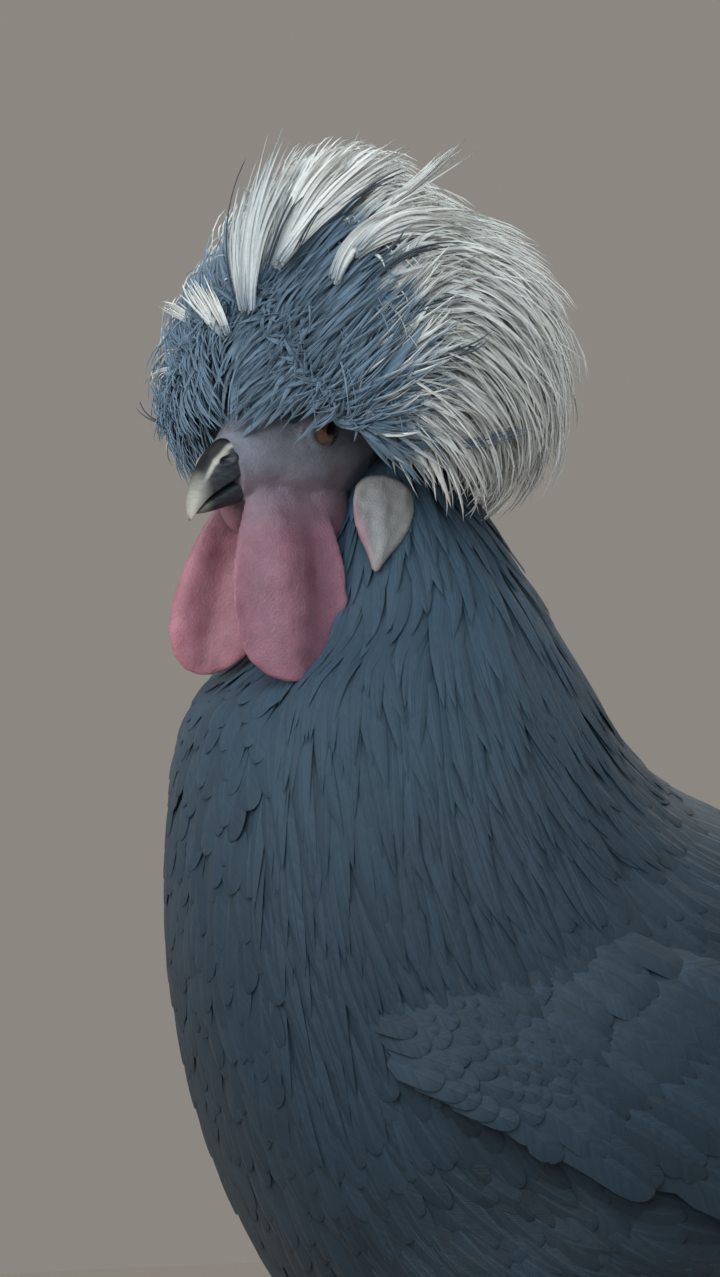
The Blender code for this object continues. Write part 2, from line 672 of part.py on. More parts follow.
def make_wings():
    """Each folded wing: a thin plate on the body with its flight feathers and coverts laid over it in tiers."""
    for side, word in ((1, "left"), (-1, "right")):
        rings = []
        for row in range(4):
            share = (row + 0.6) / 3.6
            ring = []
            for i in range(16):
                angle = 2 * math.pi * i / 16
                along = 74 + 76 * share * math.cos(angle)
                up = -2 + 34 * share * math.sin(angle) * (1 - 0.08 * math.cos(angle))
                ring.append(on_wing(side, along, up, -5 * share ** 4))
            rings.append(ring)
        rings.append([Vector((p.x - side * 16, p.y, p.z)) for p in rings[-1]])
        wing = solid("wing_" + word, *tube(rings))
        feathers = []
        for _, count, root, root_step, tip, tip_step, half_width, lift in WING_TIERS:
            for i in range(count):
                start = [a + b * i for a, b in zip(root, root_step)]
                end = [a + b * i for a, b in zip(tip, tip_step)]
                feathers.append(wing_feather(side, start, end, half_width, lift + 0.12 * i))
        fuse(wing, feathers)
        carve(wing, [body_form("body_cutter", GAP)])


def make_tail(core):
    """The tail: two upright halves of main feathers, and the long curved ones outside them, on one core."""
    count, high, low, longest, shortest, half_width = TAIL_FAN
    pieces = []
    for side in (1, -1):
        for i in range(count):
            share = i / (count - 1)
            lift = math.radians(high + (low - high) * share)
            out = Vector((side * (0.03 + 0.2 * share), math.cos(lift), math.sin(lift))).normalized()
            start = Vector((side * (2.5 + 8 * share), *TAIL_ROOT)) - Vector((0, 8, 4 * share))
            length = longest + (shortest - longest) * share
            across = Vector((side * -0.3, -math.sin(lift), math.cos(lift)))
            bend = start + out * length * 0.5 + Vector((0, -3, 6))
            centres = arc(start, bend, start + out * length + Vector((0, 2, -4)), 5)
            widths = [half_width * w for w in (0.45, 0.8, 1, 0.9, 0)]
            pieces.append(vane("feather", centres, [across] * 5, widths, 0.8))
        for curve in SICKLES:
            pieces.append(sickle(side, *curve))
    fuse(core, pieces)
    return carve(core, [slab_beyond(*tail_limit())])


def tail_limit():
    """The plane where the tail's node starts, just behind the torso's cut end."""
    tail_at, headward = section_plane(TAIL_SECTION)
    return tail_at - headward * GAP / 2, headward


def sickle(side, start, rise, turn, length, half_width, out):
    """A long curved feather that rises, arches over and hangs, its flat sides facing out."""
    steps = 9 if length > 160 else 6
    point = Vector((side * out, *start))
    centres = []
    for i in range(steps + 1):
        centres.append(point.copy())
        slope = math.radians(rise - turn * ((i + 0.5) / steps) ** 1.3)
        point += Vector((side * (0.03 + 0.012 * out), math.cos(slope), math.sin(slope))).normalized() * length / steps
    sides, widths = [], []
    for i in range(steps + 1):
        run = centres[min(i + 1, steps)] - centres[max(i - 1, 0)]
        sides.append(Vector((side * 0.12, -run.z, run.y)))
        share = i / steps
        widths.append(half_width * min(0.4 + 1.5 * share, 1) * (1 - share ** 4) ** 0.7)
    return vane("sickle", centres, sides, widths, 0.8)


def limb(name, stations, finish, around=12):
    """A tube through stations of centre, radius along Y and radius along X, square to its own run."""
    rings = []
    for i, (centre, deep, wide) in enumerate(stations):
        before, after = stations[max(i - 1, 0)][0], stations[min(i + 1, len(stations) - 1)][0]
        run = (after - before).normalized()
        fore = Vector((1, 0, 0)).cross(run).normalized()
        rings.append([centre + fore * deep * math.cos(a) + Vector((1, 0, 0)) * wide * math.sin(a)
                      for a in (2 * math.pi * k / around for k in range(around))])
    return solid(name, *tube(rings), finish)


def make_leg(side, word):
    """Thigh, shank, foot and claws of one leg, each resting face to face on the next."""
    def at(place, x=STANCE_X):
        return Vector((side * x, *place))
    rows = [smooth_row(THIGH, i / 2) for i in range(2 * len(THIGH) - 1)]
    thigh = limb("thigh_" + word, [(at((y, z), x), deep, wide) for x, y, z, deep, wide in rows], "dark_feather", 14)
    hock, ankle = at(HOCK), at(ANKLE)
    down = (ankle - hock).normalized()
    split_at(thigh, hock, down)
    carve(thigh, [body_form("body_cutter", GAP)])
    top = hock + down * GAP
    stations = [(top + (ankle - top) * share, SHANK_RADIUS * deep, SHANK_RADIUS * wide)
                for share, deep, wide in SHANK]
    shank = limb("shank_" + word, stations, "slate_scale", 10)
    scutes = []
    for i in range(SCUTES):
        share = 0.14 + 0.76 * i / (SCUTES - 1)
        spot = top + (ankle - top) * share + Vector((0, -SHANK_RADIUS * 0.62, 0))
        turn = Matrix.Rotation(math.radians(-24), 3, "X")
        scutes.append(ellipsoid("scute", spot, (SHANK_RADIUS * 0.72, SHANK_RADIUS * 0.6, 5.6), turn, 6, 2))
    fuse(shank, scutes)
    spur_root = top + (ankle - top) * 0.7 + Vector((-side * 2.2, 2.5, 0))
    fuse(shank, [cone("spur", spur_root, Vector((-side * 0.45, 0.85, -0.15)), 11, 2.7)])
    foot_top = ankle + down * GAP
    stations = [(foot_top - down * 2, 6, 6), (foot_top + down * 3, 6.1, 6.2), (foot_top + down * 8, 6.8, 7.0),
                (foot_top + down * 12.5, 6.2, 6.6)]
    foot = limb("foot_" + word, stations, "slate_scale", 10)
    split_at(foot, foot_top, -down)
    toes = []
    for toe, heading, length, radius in TOES:
        turn = math.radians(heading) * side
        ahead = Vector((math.sin(turn), -math.cos(turn), 0))
        root = Vector((foot_top.x, foot_top.y - 2, 0)) + ahead * 1.5
        stations = [(root + ahead * length * share + Vector((0, 0, radius * thick - SOLE_CUT + raised)), radius * thick)
                    for share, thick, raised in TOE_SHAPE]
        toes.append(toe_tube(stations, ahead))
        end, size = stations[-1]
        claw_from(f"claw_{toe}_{word}", end + ahead * GAP, ahead, size * 0.85)
    fuse(foot, toes)
    split_at(foot, (0, 0, 0), (0, 0, -1))


def toe_tube(stations, ahead):
    sideways = ahead.cross(Vector((0, 0, 1)))
    rings = [[centre + sideways * size * math.cos(a) + Vector((0, 0, 1)) * size * math.sin(a)
              for a in (2 * math.pi * k / 8 for k in range(8))] for centre, size in stations]
    return solid("toe", *tube(rings), "slate_scale")


def cone(name, root, direction, length, radius):
    """A blunt spike, used for the spur."""
    turn = direction.normalized().to_track_quat("Z", "Y").to_matrix()
    rings = [[root + turn @ Vector((size * math.cos(a), size * math.sin(a), length * share))
              for a in (2 * math.pi * k / 8 for k in range(8))]
             for share, size in ((0, radius), (0.5, radius * 0.75), (0.9, radius * 0.35), (1, radius * 0.12))]
    return solid(name, *tube(rings), "slate_scale")


def claw_from(name, root, ahead, size):
    """A short curved claw that starts flat on the end of its toe."""
    sideways = ahead.cross(Vector((0, 0, 1)))
    rings = []
    for share, width in ((0, 1), (0.4, 0.78), (0.75, 0.46), (1, 0.12)):
        middle = root + ahead * CLAW_LENGTH * share + Vector((0, 0, 1.8 * share - 3 * share ** 2))
        slope = -0.8 * share
        up = Vector((0, 0, math.cos(slope))) - ahead * math.sin(slope)
        rings.append([middle + sideways * size * width * 0.7 * math.cos(a) + up * size * width * math.sin(a)
                      for a in (2 * math.pi * k / 6 for k in range(6))])
    return solid(name, *tube(rings), "horn")


def stand_on_floor():
    """Moves the bird so that the middle of its box is over the origin and its soles are at z = 0."""
    nodes = [thing for thing in bpy.data.objects if thing.type == "MESH"]
    bpy.context.view_layer.update()
    corners = [corner.co for thing in nodes for corner in thing.data.vertices]
    middle = [-(min(c[k] for c in corners) + max(c[k] for c in corners)) / 2 for k in (0, 1)]
    bird = bpy.data.objects.new("bird", None)
    bpy.context.scene.collection.objects.link(bird)
    bird.location = (*middle, -min(c.z for c in corners))
    for thing in nodes:
        thing.parent = bird


def main():
    for thing in list(bpy.data.objects):
        bpy.data.objects.remove(thing)
    _, _, tail = make_trunk()
    make_head()
    make_bill()
    make_wattles()
    make_earlobes()
    make_crest()
    make_wings()
    make_tail(tail)
    make_leg(1, "left")
    make_leg(-1, "right")
    stand_on_floor()


main()
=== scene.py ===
"""The looks of a standing Polish cock: skin, plumage, crest, face, bill, eyes and legs over its fixed frame.

The bird faces -Y, its left is +X and +Z is up. Sizes are in millimetres until a mesh is stored in metres.
"""

import math

import bmesh
import bpy
import numpy as np
from bpy.props import FloatProperty, FloatVectorProperty, IntProperty, PointerProperty
from mathutils import Matrix, Vector


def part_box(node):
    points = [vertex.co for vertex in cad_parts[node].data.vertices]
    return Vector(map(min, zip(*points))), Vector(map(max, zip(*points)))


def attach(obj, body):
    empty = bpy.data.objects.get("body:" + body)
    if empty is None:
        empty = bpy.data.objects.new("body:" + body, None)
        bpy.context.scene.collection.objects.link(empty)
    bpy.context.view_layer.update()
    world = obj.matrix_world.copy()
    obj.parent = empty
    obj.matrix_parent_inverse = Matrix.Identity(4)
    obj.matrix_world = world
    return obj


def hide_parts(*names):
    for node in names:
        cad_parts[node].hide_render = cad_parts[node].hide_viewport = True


bl_info = {
    "name": "Polish Cock",
    "version": (1, 0, 0),
    "blender": (4, 5, 0),
    "location": "3D View > Sidebar > Polish Cock",
    "description": "Builds the skin, plumage, crest, face and legs of a standing Polish cock over its frame",
    "category": "Object",
}

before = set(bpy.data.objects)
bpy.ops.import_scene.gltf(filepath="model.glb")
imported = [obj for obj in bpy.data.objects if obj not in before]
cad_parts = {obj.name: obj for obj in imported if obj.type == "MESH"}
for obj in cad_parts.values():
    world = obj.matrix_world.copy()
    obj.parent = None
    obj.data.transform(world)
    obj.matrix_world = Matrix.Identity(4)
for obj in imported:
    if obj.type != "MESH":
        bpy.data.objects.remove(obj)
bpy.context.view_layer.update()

MM = 0.001
PATCH = 0.003
SEED = 11
FULL_TURN = 2 * math.pi
SIDES = ((1, "left"), (-1, "right"))
ACROSS, UP = np.array((1.0, 0, 0)), np.array((0, 0, 1.0))

# The body's outline, tail stump to throat: back y and z, belly or breast y and z, half width.
BODY = np.array((
    (180, 303, 187, 292, 7), (163, 298, 174, 266, 19), (142, 291, 150, 228, 33), (120, 290, 118, 185, 48),
    (98, 295, 82, 154, 61), (80, 302, 45, 141, 69), (68, 308, 8, 150, 71), (60, 314, -24, 176, 69),
    (52, 323, -45, 213, 65), (44, 337, -56, 255, 58), (38, 348, -58, 295, 50), (33, 357, -53, 326, 42),
    (27, 366, -38, 342, 34), (20, 377, -30, 357, 28), (12, 388, -25, 372, 23), (4, 398, -20, 387, 17)),
    float)
BODY_FULLNESS = 2.2
# How much lighter or darker its feathers are, by place along it: partly their own tone and partly painted
# shade, lighter up the neck and darker down the breast and belly.
BODY_SHADE = ((0, 5, 8.5, 10, 11.3, 13, 15), (-1.0, -1.5, -1.1, -0.4, 0.75, 1.3, 1.5))

# The head's outline in its own frame: forward, top, bottom, half width.
HEAD = np.array((
    (-27, -1, -7, 3), (-24, 6, -14, 9.5), (-17, 12, -20, 14), (-8, 15, -22, 16), (1, 14, -21, 15.6),
    (8, 11, -18.5, 13), (14, 7.5, -15.5, 10), (19, 4.8, -12.8, 7.6), (22, 3.2, -11.5, 6.3)), float)
HEAD_AT = np.array((11, -34, 397.5))
HEAD_YAW, HEAD_PITCH = 28, 16
EYE_OUT, EYE_RADIUS = 11.4, 5.8

# The bill's two halves in the same frame: forward, top, bottom, half width.
UPPER_BILL = np.array((
    (18, 4.2, -5.2, 6.2), (22, 3.8, -6.0, 5.6), (27, 1.6, -7.0, 4.6), (31.5, -2.2, -8.2, 3.4),
    (34.8, -6.6, -10.2, 2.0), (36.4, -10.4, -11.8, 0.6)), float)
LOWER_BILL = np.array((
    (16, -6.0, -12.6, 5.4), (22, -6.4, -12.2, 4.9), (27, -7.4, -11.9, 4.0), (31.5, -8.6, -11.4, 2.7),
    (33.6, -9.9, -11.0, 1.2)), float)
NOSTRIL_AT = (24.6, 4.6, 0.4)

# Each wattle: forward and outward place, how far it swings forward and out, top, bottom, half width, turn.
WATTLES = {1: (7.5, 10, 3, 4, -9, -60.5, 15.3, 20), -1: (2.9, 5.8, 9.8, 8.5, -9, -60, 13.2, -38)}
WATTLE_OUTLINE = np.array(((0.0, 0.45), (0.14, 0.68), (0.3, 0.84), (0.47, 0.96), (0.64, 1.0), (0.79, 0.92),
                           (0.9, 0.72), (0.97, 0.44), (1.0, 0.14)))
EARLOBE_AT = (-12.8, -23)
EARLOBE_SIZE = (8.1, 12.5, 2.2)
EARLOBE_OUTLINE = ((-1, -0.95, -0.86, -0.7, -0.45, -0.15, 0.1, 0.35, 0.6, 0.82, 0.94, 1),
                   (0.2, 0.55, 0.8, 0.94, 1, 0.96, 0.84, 0.64, 0.38, 0.2, 0.12, 0.04))

CREST_AT = np.array((-14.0, 0, 20))
CREST_BELOW = CREST_AT - np.array((0, 0, 12))
CREST_REACH = {"forward": 37, "side": 50, "up": 54, "back": 65, "down": 47}
CREST_LEAN = 0.2
# How much shorter or longer its feathers are, by height angle: behind, and flattened above the right front.
CREST_SAG = np.array((
    (-60, 1.1), (-40, 1.16), (-10, 1.1), (4, 1.05), (16, 1.0), (28, 0.94), (40, 0.84), (52, 0.79),
    (64, 0.81), (76, 0.87), (90, 0.93))).T
CREST_DENT = np.array((
    (-24, 0), (-12, 0.05), (0, 0.09), (10, 0.12), (20, 0.15), (30, 0.17), (44, 0.18), (60, 0.1), (75, 0.07),
    (90, 0.07))).T
CREST_CORE_AT = np.array((-12.0, 0, 19))
CREST_CORE = np.array((20.0, 21, 20))
# The line on each side from which the lying feathers part: azimuth and height of its two ends.
CREST_PARTING = ((4, 20), (48, -24))
# How high the dark front reaches, by distance round from the middle, and how low the tips hang, by azimuth.
CREST_DARK = np.radians(((0, 14), (8, 25), (20, 33), (36, 43), (46, 36), (54, 28), (62, 20), (67, -20),
                         (72, -90))).T
CREST_LOW = np.radians(((-180, -60), (-120, -56), (-80, -46), (-34, -42), (-20, -28), (24, -24),
                        (46, -21), (60, -28), (76, -42), (120, -56), (180, -60))).T
# Locks of the crest that the photo shows one by one: root, bend and tip in its pixels, depths towards
# the camera at root and tip, half width of a feather, how far they fan out, tone (1 white, 0 slate,
# -1 near black, which paints shade lines between white locks) and how many.
LOCKS = (
    ((232, 310), (216, 232), (254, 160), 40, 14, 0.5, 0.7, -1, 2),
    ((236, 308), (226, 236), (256, 166), 42, 16, 0.8, 1.6, 0.75, 5),
    ((243, 304), (246, 222), (290, 136), 45, 12, 1.0, 2.4, 0.75, 9),
    ((262, 262), (284, 206), (312, 182), 50, 30, 0.5, 0.5, -1, 3),
    ((270, 256), (300, 184), (352, 144), 49, 16, 1.0, 2.8, 1, 9),
    ((276, 252), (326, 192), (410, 150), 50, 18, 1.1, 2.6, 1, 11),
    ((294, 242), (312, 220), (328, 206), 52, 42, 0.5, 0.5, -1, 3),
    ((330, 210), (366, 186), (408, 176), 50, 28, 0.6, 0.6, -1, 4),
    ((380, 200), (420, 182), (465, 147), 34, 16, 0.8, 1.0, 1, 5),
    ((336, 272), (352, 218), (446, 204), 54, 26, 1.1, 2.2, 1, 10),
    ((362, 242), (404, 206), (486, 232), 52, 22, 1.1, 3.0, 1, 9),
    ((384, 266), (412, 244), (466, 243), 54, 34, 0.5, 0.5, -1, 4),
    ((390, 250), (400, 240), (410, 232), 54, 44, 0.5, 0.4, -1, 2),
    ((386, 284), (416, 256), (482, 262), 54, 26, 1.0, 2.4, 1, 8),
    ((422, 307), (446, 302), (468, 300), 54, 42, 0.5, 0.5, -1, 3),
    ((404, 296), (440, 278), (500, 292), 50, 22, 1.0, 2.4, 1, 7),
    ((416, 322), (452, 312), (506, 330), 52, 24, 1.0, 2.6, 1, 8),
    ((452, 356), (474, 352), (493, 336), 54, 40, 0.6, 0.6, -1, 3),
    ((424, 350), (460, 342), (508, 356), 50, 26, 1.0, 2.4, 1, 6),
    ((372, 423), (394, 404), (440, 376), 54, 34, 0.9, 1.4, 1, 8),
    ((398, 430), (434, 414), (482, 396), 52, 32, 0.8, 1.0, 1, 7),
    ((410, 452), (460, 450), (536, 427), 50, 26, 0.7, 0.8, 0, 6),
    ((404, 440), (450, 436), (508, 424), 50, 28, 0.9, 1.8, 1, 6),
    ((215, 338), (200, 300), (189, 280), 32, 14, 0.6, 1.6, 1, 6),
    ((219, 332), (212, 300), (206, 283), 36, 18, 0.6, 1.0, 1, 4),
    ((186, 366), (164, 340), (157, 376), 14, 0, 0.5, 1.2, 1, 4),
    ((182, 378), (160, 362), (151, 388), 12, 0, 0.5, 1.0, 1, 4),
    ((178, 430), (148, 428), (136, 394), 10, -6, 0.45, 0.5, -1, 2),
    ((192, 326), (172, 306), (164, 302), 18, 6, 0.5, 1.2, 1, 4),
)
# How long a feather stays wide: pointed ones, round ones and flight feathers.
LANCE, ROUND, VANE = 2.6, 7, 11
# How far barbs slant back, in half widths, and how far apart on the barbs' noise two tones of feather are.
BARB_SLANT, BARB_SHIFT = 1.3, 900

WING_CENTRE = (45, 228)
WING_BULGE = 77
WING_LENGTH_FALL, WING_HEIGHT_FALL = (105, 38), (72, 38)
WING_SHOULDER = (-16, 264)
WING_SLOPE = 15
WING_INSIDE = np.array((0.0, 45, 228))
# Tiers of wing feathers, under to over: count, first and last root, first and last tip, half width, lift.
WING_TIERS = (
    (7, (80, -9), (92, -25), (190, -3), (144, -29), 7.0, 0.6),
    (13, (34, -23), (74, 18), (116, -37), (164, 14), 6.6, 1.2),
    (14, (20, -22), (58, 19), (66, -33), (112, 14), 5.2, 1.9),
    (15, (10, -19), (44, 20), (44, -29), (84, 16), 4.4, 2.5),
    (15, (2, -15), (30, 20), (28, -24), (60, 18), 4.0, 3.0),
    (14, (-4, -10), (20, 20), (15, -18), (42, 19), 3.8, 3.4),
)

TAIL_ROOT = (156, 276)
# The tail's fan on each side: how many, highest and lowest rise, longest and shortest, half width.
TAIL_FAN = (7, 74, 24, 124, 100, 13)
# Curved feathers on each side: start y and z, rise, turn, length, half width, distance from the middle.
SICKLES = np.array((
    (146, 290, 66, 128, 238, 9.5, 6), (142, 291, 62, 132, 178, 8.0, 9), (140, 290, 50, 128, 148, 7.8, 12),
    (138, 287, 38, 118, 118, 7.4, 16), (137, 282, 24, 102, 92, 7.0, 19)), float)

STANCE_X = 40
# Each thigh, hip to hock: outward place, y, z, half depth, half width.
THIGH = np.array((
    (28, 20, 232, 26, 14), (39, 26, 206, 36, 30), (42, 37, 174, 33, 28), (41, 48, 144, 22.5, 19.5),
    (40.5, 56, 124, 13.5, 12), (40, 60, 110, 8.6, 8.2), (40, 60, 98, 6.6, 6.6), (40, 57.5, 86, 5.7, 5.4)),
                 float)
HOCK, ANKLE = (61, 106), (41, 17)
SHANK_RADIUS = 5.0
# Along a shank: share, depth and width. Its rows of scutes stand at these headings from its front.
SHANK = np.array(((0, 1.5, 1.4), (0.06, 1.45, 1.3), (0.16, 1.1, 1.0), (0.55, 1.0, 0.92), (0.88, 1.08, 1.02),
                  (1, 1.18, 1.2)))
SCUTE_ROWS = (-27, 27, 152, 208)
# Toes: name, heading, length, radius, and where along them their joints are.
TOES = (("inner", -34, 41, 4.3, (0.42, 0.8)), ("middle", 2, 56, 4.7, (0.3, 0.58, 0.84)),
        ("outer", 36, 46, 4.3, (0.24, 0.46, 0.66, 0.86)), ("back", 165, 21, 3.9, (0.7,)))
# Along a toe: share, thickness, how far it is raised off the floor.
TOE_SHAPE = np.array(((0, 1.0, 2.6), (0.22, 1.0, 1.5), (0.5, 0.92, 0.5), (0.78, 0.86, 0.1), (1, 0.66, 0.1)))
CLAW_LENGTH = 10
SOLE_CUT = 0.7

# The photo's view: where it looks from, and the middle of its frame.
VIEW_AZIMUTH, VIEW_HEIGHT = 72, 3
VIEW_ALONG, VIEW_UP = -10, 345.4
# The photo's height, its pixels to a millimetre, the pixel of the bird's own middle on the floor, and
# how far away it was.
PHOTO_TALL, PHOTO_SCALE, PHOTO_MIDDLE, PHOTO_DISTANCE = 1277, 4, (400, 2020), 1200
SENSOR = 36


def unit(v):
    """Vectors brought to a length of one."""
    return v / np.maximum(np.linalg.norm(v, axis=-1, keepdims=True), 1e-9)


def circle(count):
    """Angles spaced evenly round a circle."""
    return np.linspace(0, FULL_TURN, count, endpoint=False)


def signed(angle):
    """An angle as its turn to either side, from -pi to pi."""
    return (angle + math.pi) % FULL_TURN - math.pi


def angles_of(way):
    """The azimuths and heights of unit ways."""
    return np.arctan2(way[..., 1], way[..., 0]), np.arcsin(np.clip(way[..., 2], -1, 1))


def head_axes(pitch):
    """The head's ways forward, left and up when it dips by a pitch."""
    yaw, dip = math.radians(HEAD_YAW), math.radians(pitch)
    forward = np.array((math.sin(yaw) * math.cos(dip), -math.cos(yaw) * math.cos(dip), -math.sin(dip)))
    left = np.array((math.cos(yaw), math.sin(yaw), 0))
    return np.array((forward, left, np.cross(forward, left)))


TILTED, LEVEL = head_axes(HEAD_PITCH), head_axes(0)


def on_head(p):
    """From forward, left and up of the dipped head to the bird's axes."""
    return HEAD_AT + np.asarray(p, float) @ TILTED


def by_head(p):
    """The same for what hangs or stands level beside the head."""
    return HEAD_AT + np.asarray(p, float) @ LEVEL


def middle_of(node):
    """The middle of a node's box, in millimetres."""
    low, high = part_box(node)
    return (np.array(low) + np.array(high)) / 2 / MM


SHIFT = middle_of("eye_left") - on_head((0, EYE_OUT, 0))


def stored(p):
    """From the bird's own millimetres to the frame's metres."""
    return (np.asarray(p, float) + SHIFT) * MM


def curve_row(rows, place):
    """Rows of a table at places along it, on a Catmull-Rom curve."""
    place = np.clip(np.asarray(place, float), 0, len(rows) - 1)
    i = np.minimum(place.astype(int), len(rows) - 2)
    t = (place - i)[..., None]
    wide = np.vstack((2 * rows[0] - rows[1], rows, 2 * rows[-1] - rows[-2]))
    a, b, c, d = wide[i], wide[i + 1], wide[i + 2], wide[i + 3]
    return 0.5 * (2 * b + (c - a) * t + (2 * a - 5 * b + 4 * c - d) * t ** 2
                  + (3 * b - a - 3 * c + d) * t ** 3)


def body_surface(place, angle):
    """Points on the body at places along it and angles round it, from its back."""
    row = curve_row(BODY, place)

    def full(v):
        return np.sign(v) * np.abs(v) ** (2 / BODY_FULLNESS)

    along = full(np.cos(angle))
    return np.stack((row[..., 4] * full(np.sin(angle)),
                     (row[..., 0] + row[..., 2]) / 2 + (row[..., 0] - row[..., 2]) / 2 * along,
                     (row[..., 1] + row[..., 3]) / 2 + (row[..., 1] - row[..., 3]) / 2 * along), -1)


def head_surface(place, angle):
    """Points on the head at places along it and angles round it, from its top."""
    row = curve_row(HEAD, place)
    middle, half = (row[..., 1] + row[..., 2]) / 2, (row[..., 1] - row[..., 2]) / 2
    return on_head(np.stack((row[..., 0], row[..., 3] * np.sin(angle), middle + half * np.cos(angle)), -1))


def thigh_surface(side):
    """A thigh's surface, by places down it and angles round it, from its front."""

    def surface(place, angle):
        place = np.asarray(place, float)
        row = curve_row(THIGH, place)
        ahead = curve_row(THIGH, place + 0.1) - curve_row(THIGH, place - 0.1)
        run = unit(np.stack((0 * ahead[..., 0], ahead[..., 1], ahead[..., 2]), -1))
        fore = unit(np.cross((1, 0, 0), run))
        centre = np.stack((side * row[..., 0], row[..., 1], row[..., 2]), -1)
        out = np.stack((side * row[..., 4] * np.sin(angle), 0 * place, 0 * place), -1)
        return centre + fore * (row[..., 3] * np.cos(angle))[..., None] + out

    return surface


def over_thighs(run, normal):
    """Lays runs of the flank's feathers over the upper thighs, which so grow out of the body smoothly."""
    x, y, z = np.abs(run[..., 0]), run[..., 1], run[..., 2]
    near = (y > -20) & (y < 85) & (z > 120) & (z < 240) & (x > 20)
    place = np.linspace(0, 3.2, 65)
    row = curve_row(THIGH, place)
    ahead = np.gradient(row[:, 1:3], axis=0)
    ahead /= np.linalg.norm(ahead, axis=1)[:, None]

    def swell(x, y, z):
        away = np.stack((y, z), -1)[:, None] - row[None, :, 1:3]
        off = np.abs(np.sum(away * ahead[None], -1)) + 0.05 * np.linalg.norm(away, axis=-1)
        best = np.argmin(off, axis=1)
        aside = np.stack((-ahead[best, 1], ahead[best, 0]), -1)
        across = (away[np.arange(len(best)), best] * aside).sum(-1)
        share = np.clip(1 - (across / row[best, 3] / 1.45) ** 2, 0, 1)
        gap = row[best, 0] + row[best, 4] * share ** 0.75 + 0.5 - x
        weight = (np.clip((3.3 - place[best]) / 0.9, 0, 1) * np.clip((x - row[best, 0]) / 6, 0, 1)
                  * np.clip(3 * share, 0, 1))
        return 0.5 * (gap + np.sqrt(gap ** 2 + 30)) * weight

    run, normal = run.copy(), normal.copy()
    moved, faced = run[near], normal[near]
    sign = np.sign(moved[:, 0])
    x, y, z = np.abs(moved[:, 0]), moved[:, 1], moved[:, 2]
    fall = faced[:, 1:] / np.maximum(faced[:, :1] * sign[:, None], 0.3)
    push = swell(x, y, z)
    slope = np.stack(((swell(x - 3 * fall[:, 0], y + 3, z) - push) / 3,
                      (swell(x - 3 * fall[:, 1], y, z + 3) - push) / 3), -1)
    turned = unit(np.concatenate((sign[:, None], fall - slope), axis=1))
    share = np.clip(push / 2, 0, 1)[:, None]
    moved[:, 0] += sign * push
    run[near], normal[near] = moved, unit(faced * (1 - share) + turned * share)
    return run, normal


def wing_surface(side):
    """The folded wing's outer face: places are along it from the shoulder, and up from its axis."""
    slope = math.radians(WING_SLOPE)

    def surface(along, up):
        y = WING_SHOULDER[0] + along * math.cos(slope) + up * math.sin(slope)
        z = WING_SHOULDER[1] - along * math.sin(slope) + up * math.cos(slope)
        out = (WING_BULGE - WING_LENGTH_FALL[1] * ((y - WING_CENTRE[0]) / WING_LENGTH_FALL[0]) ** 2
               - WING_HEIGHT_FALL[1] * ((z - WING_CENTRE[1]) / WING_HEIGHT_FALL[0]) ** 2)
        return np.stack((side * out, y, z), -1)

    return surface


def outward(surface, a, b, inside):
    """Unit normals of a surface of two places, turned away from a point or points inside it."""
    step = 0.01
    across = surface(a + step, b) - surface(a - step, b)
    round_it = surface(a, b + step) - surface(a, b - step)
    normal = unit(np.cross(across, round_it))
    away = np.sum(normal * (surface(a, b) - inside), -1, keepdims=True)
    return normal * np.where(away < 0, -1, 1)


def object_from(name, mesh):
    """A finished piece from a mesh in the bird's millimetres."""
    mesh.transform(Matrix.Scale(MM, 4) @ Matrix.Translation(SHIFT))
    made = bpy.data.objects.new(name, mesh)
    bpy.context.scene.collection.objects.link(made)
    mesh.shade_smooth()
    return made


def mesh_from(name, shape, closed=True):
    """A mesh from a bmesh, which is freed."""
    if closed:
        bmesh.ops.recalc_face_normals(shape, faces=shape.faces)
    mesh = bpy.data.meshes.new(name)
    shape.to_mesh(mesh)
    shape.free()
    return mesh


def mark(mesh, **values):
    """Keeps numbers at a mesh's points, for its finish."""
    for label, numbers in values.items():
        kept = mesh.attributes.new(label, "FLOAT", "POINT")
        kept.data.foreach_set("value", np.ascontiguousarray(numbers).reshape(-1))


def root_map(u, v):
    """Places of roots on the map OFBake, clear of its edges."""
    return np.stack((u, v), -1) * 0.96 + 0.02


def round_map(share, angle):
    """The same for roots at a share of the way along a body and at an angle round it."""
    return root_map(share, angle / FULL_TURN % 1)


def crest_map(azimuth, height):
    """The same for the crest's feathers, by azimuth and height."""
    return root_map(azimuth / FULL_TURN + 0.5, height / math.pi + 0.5)


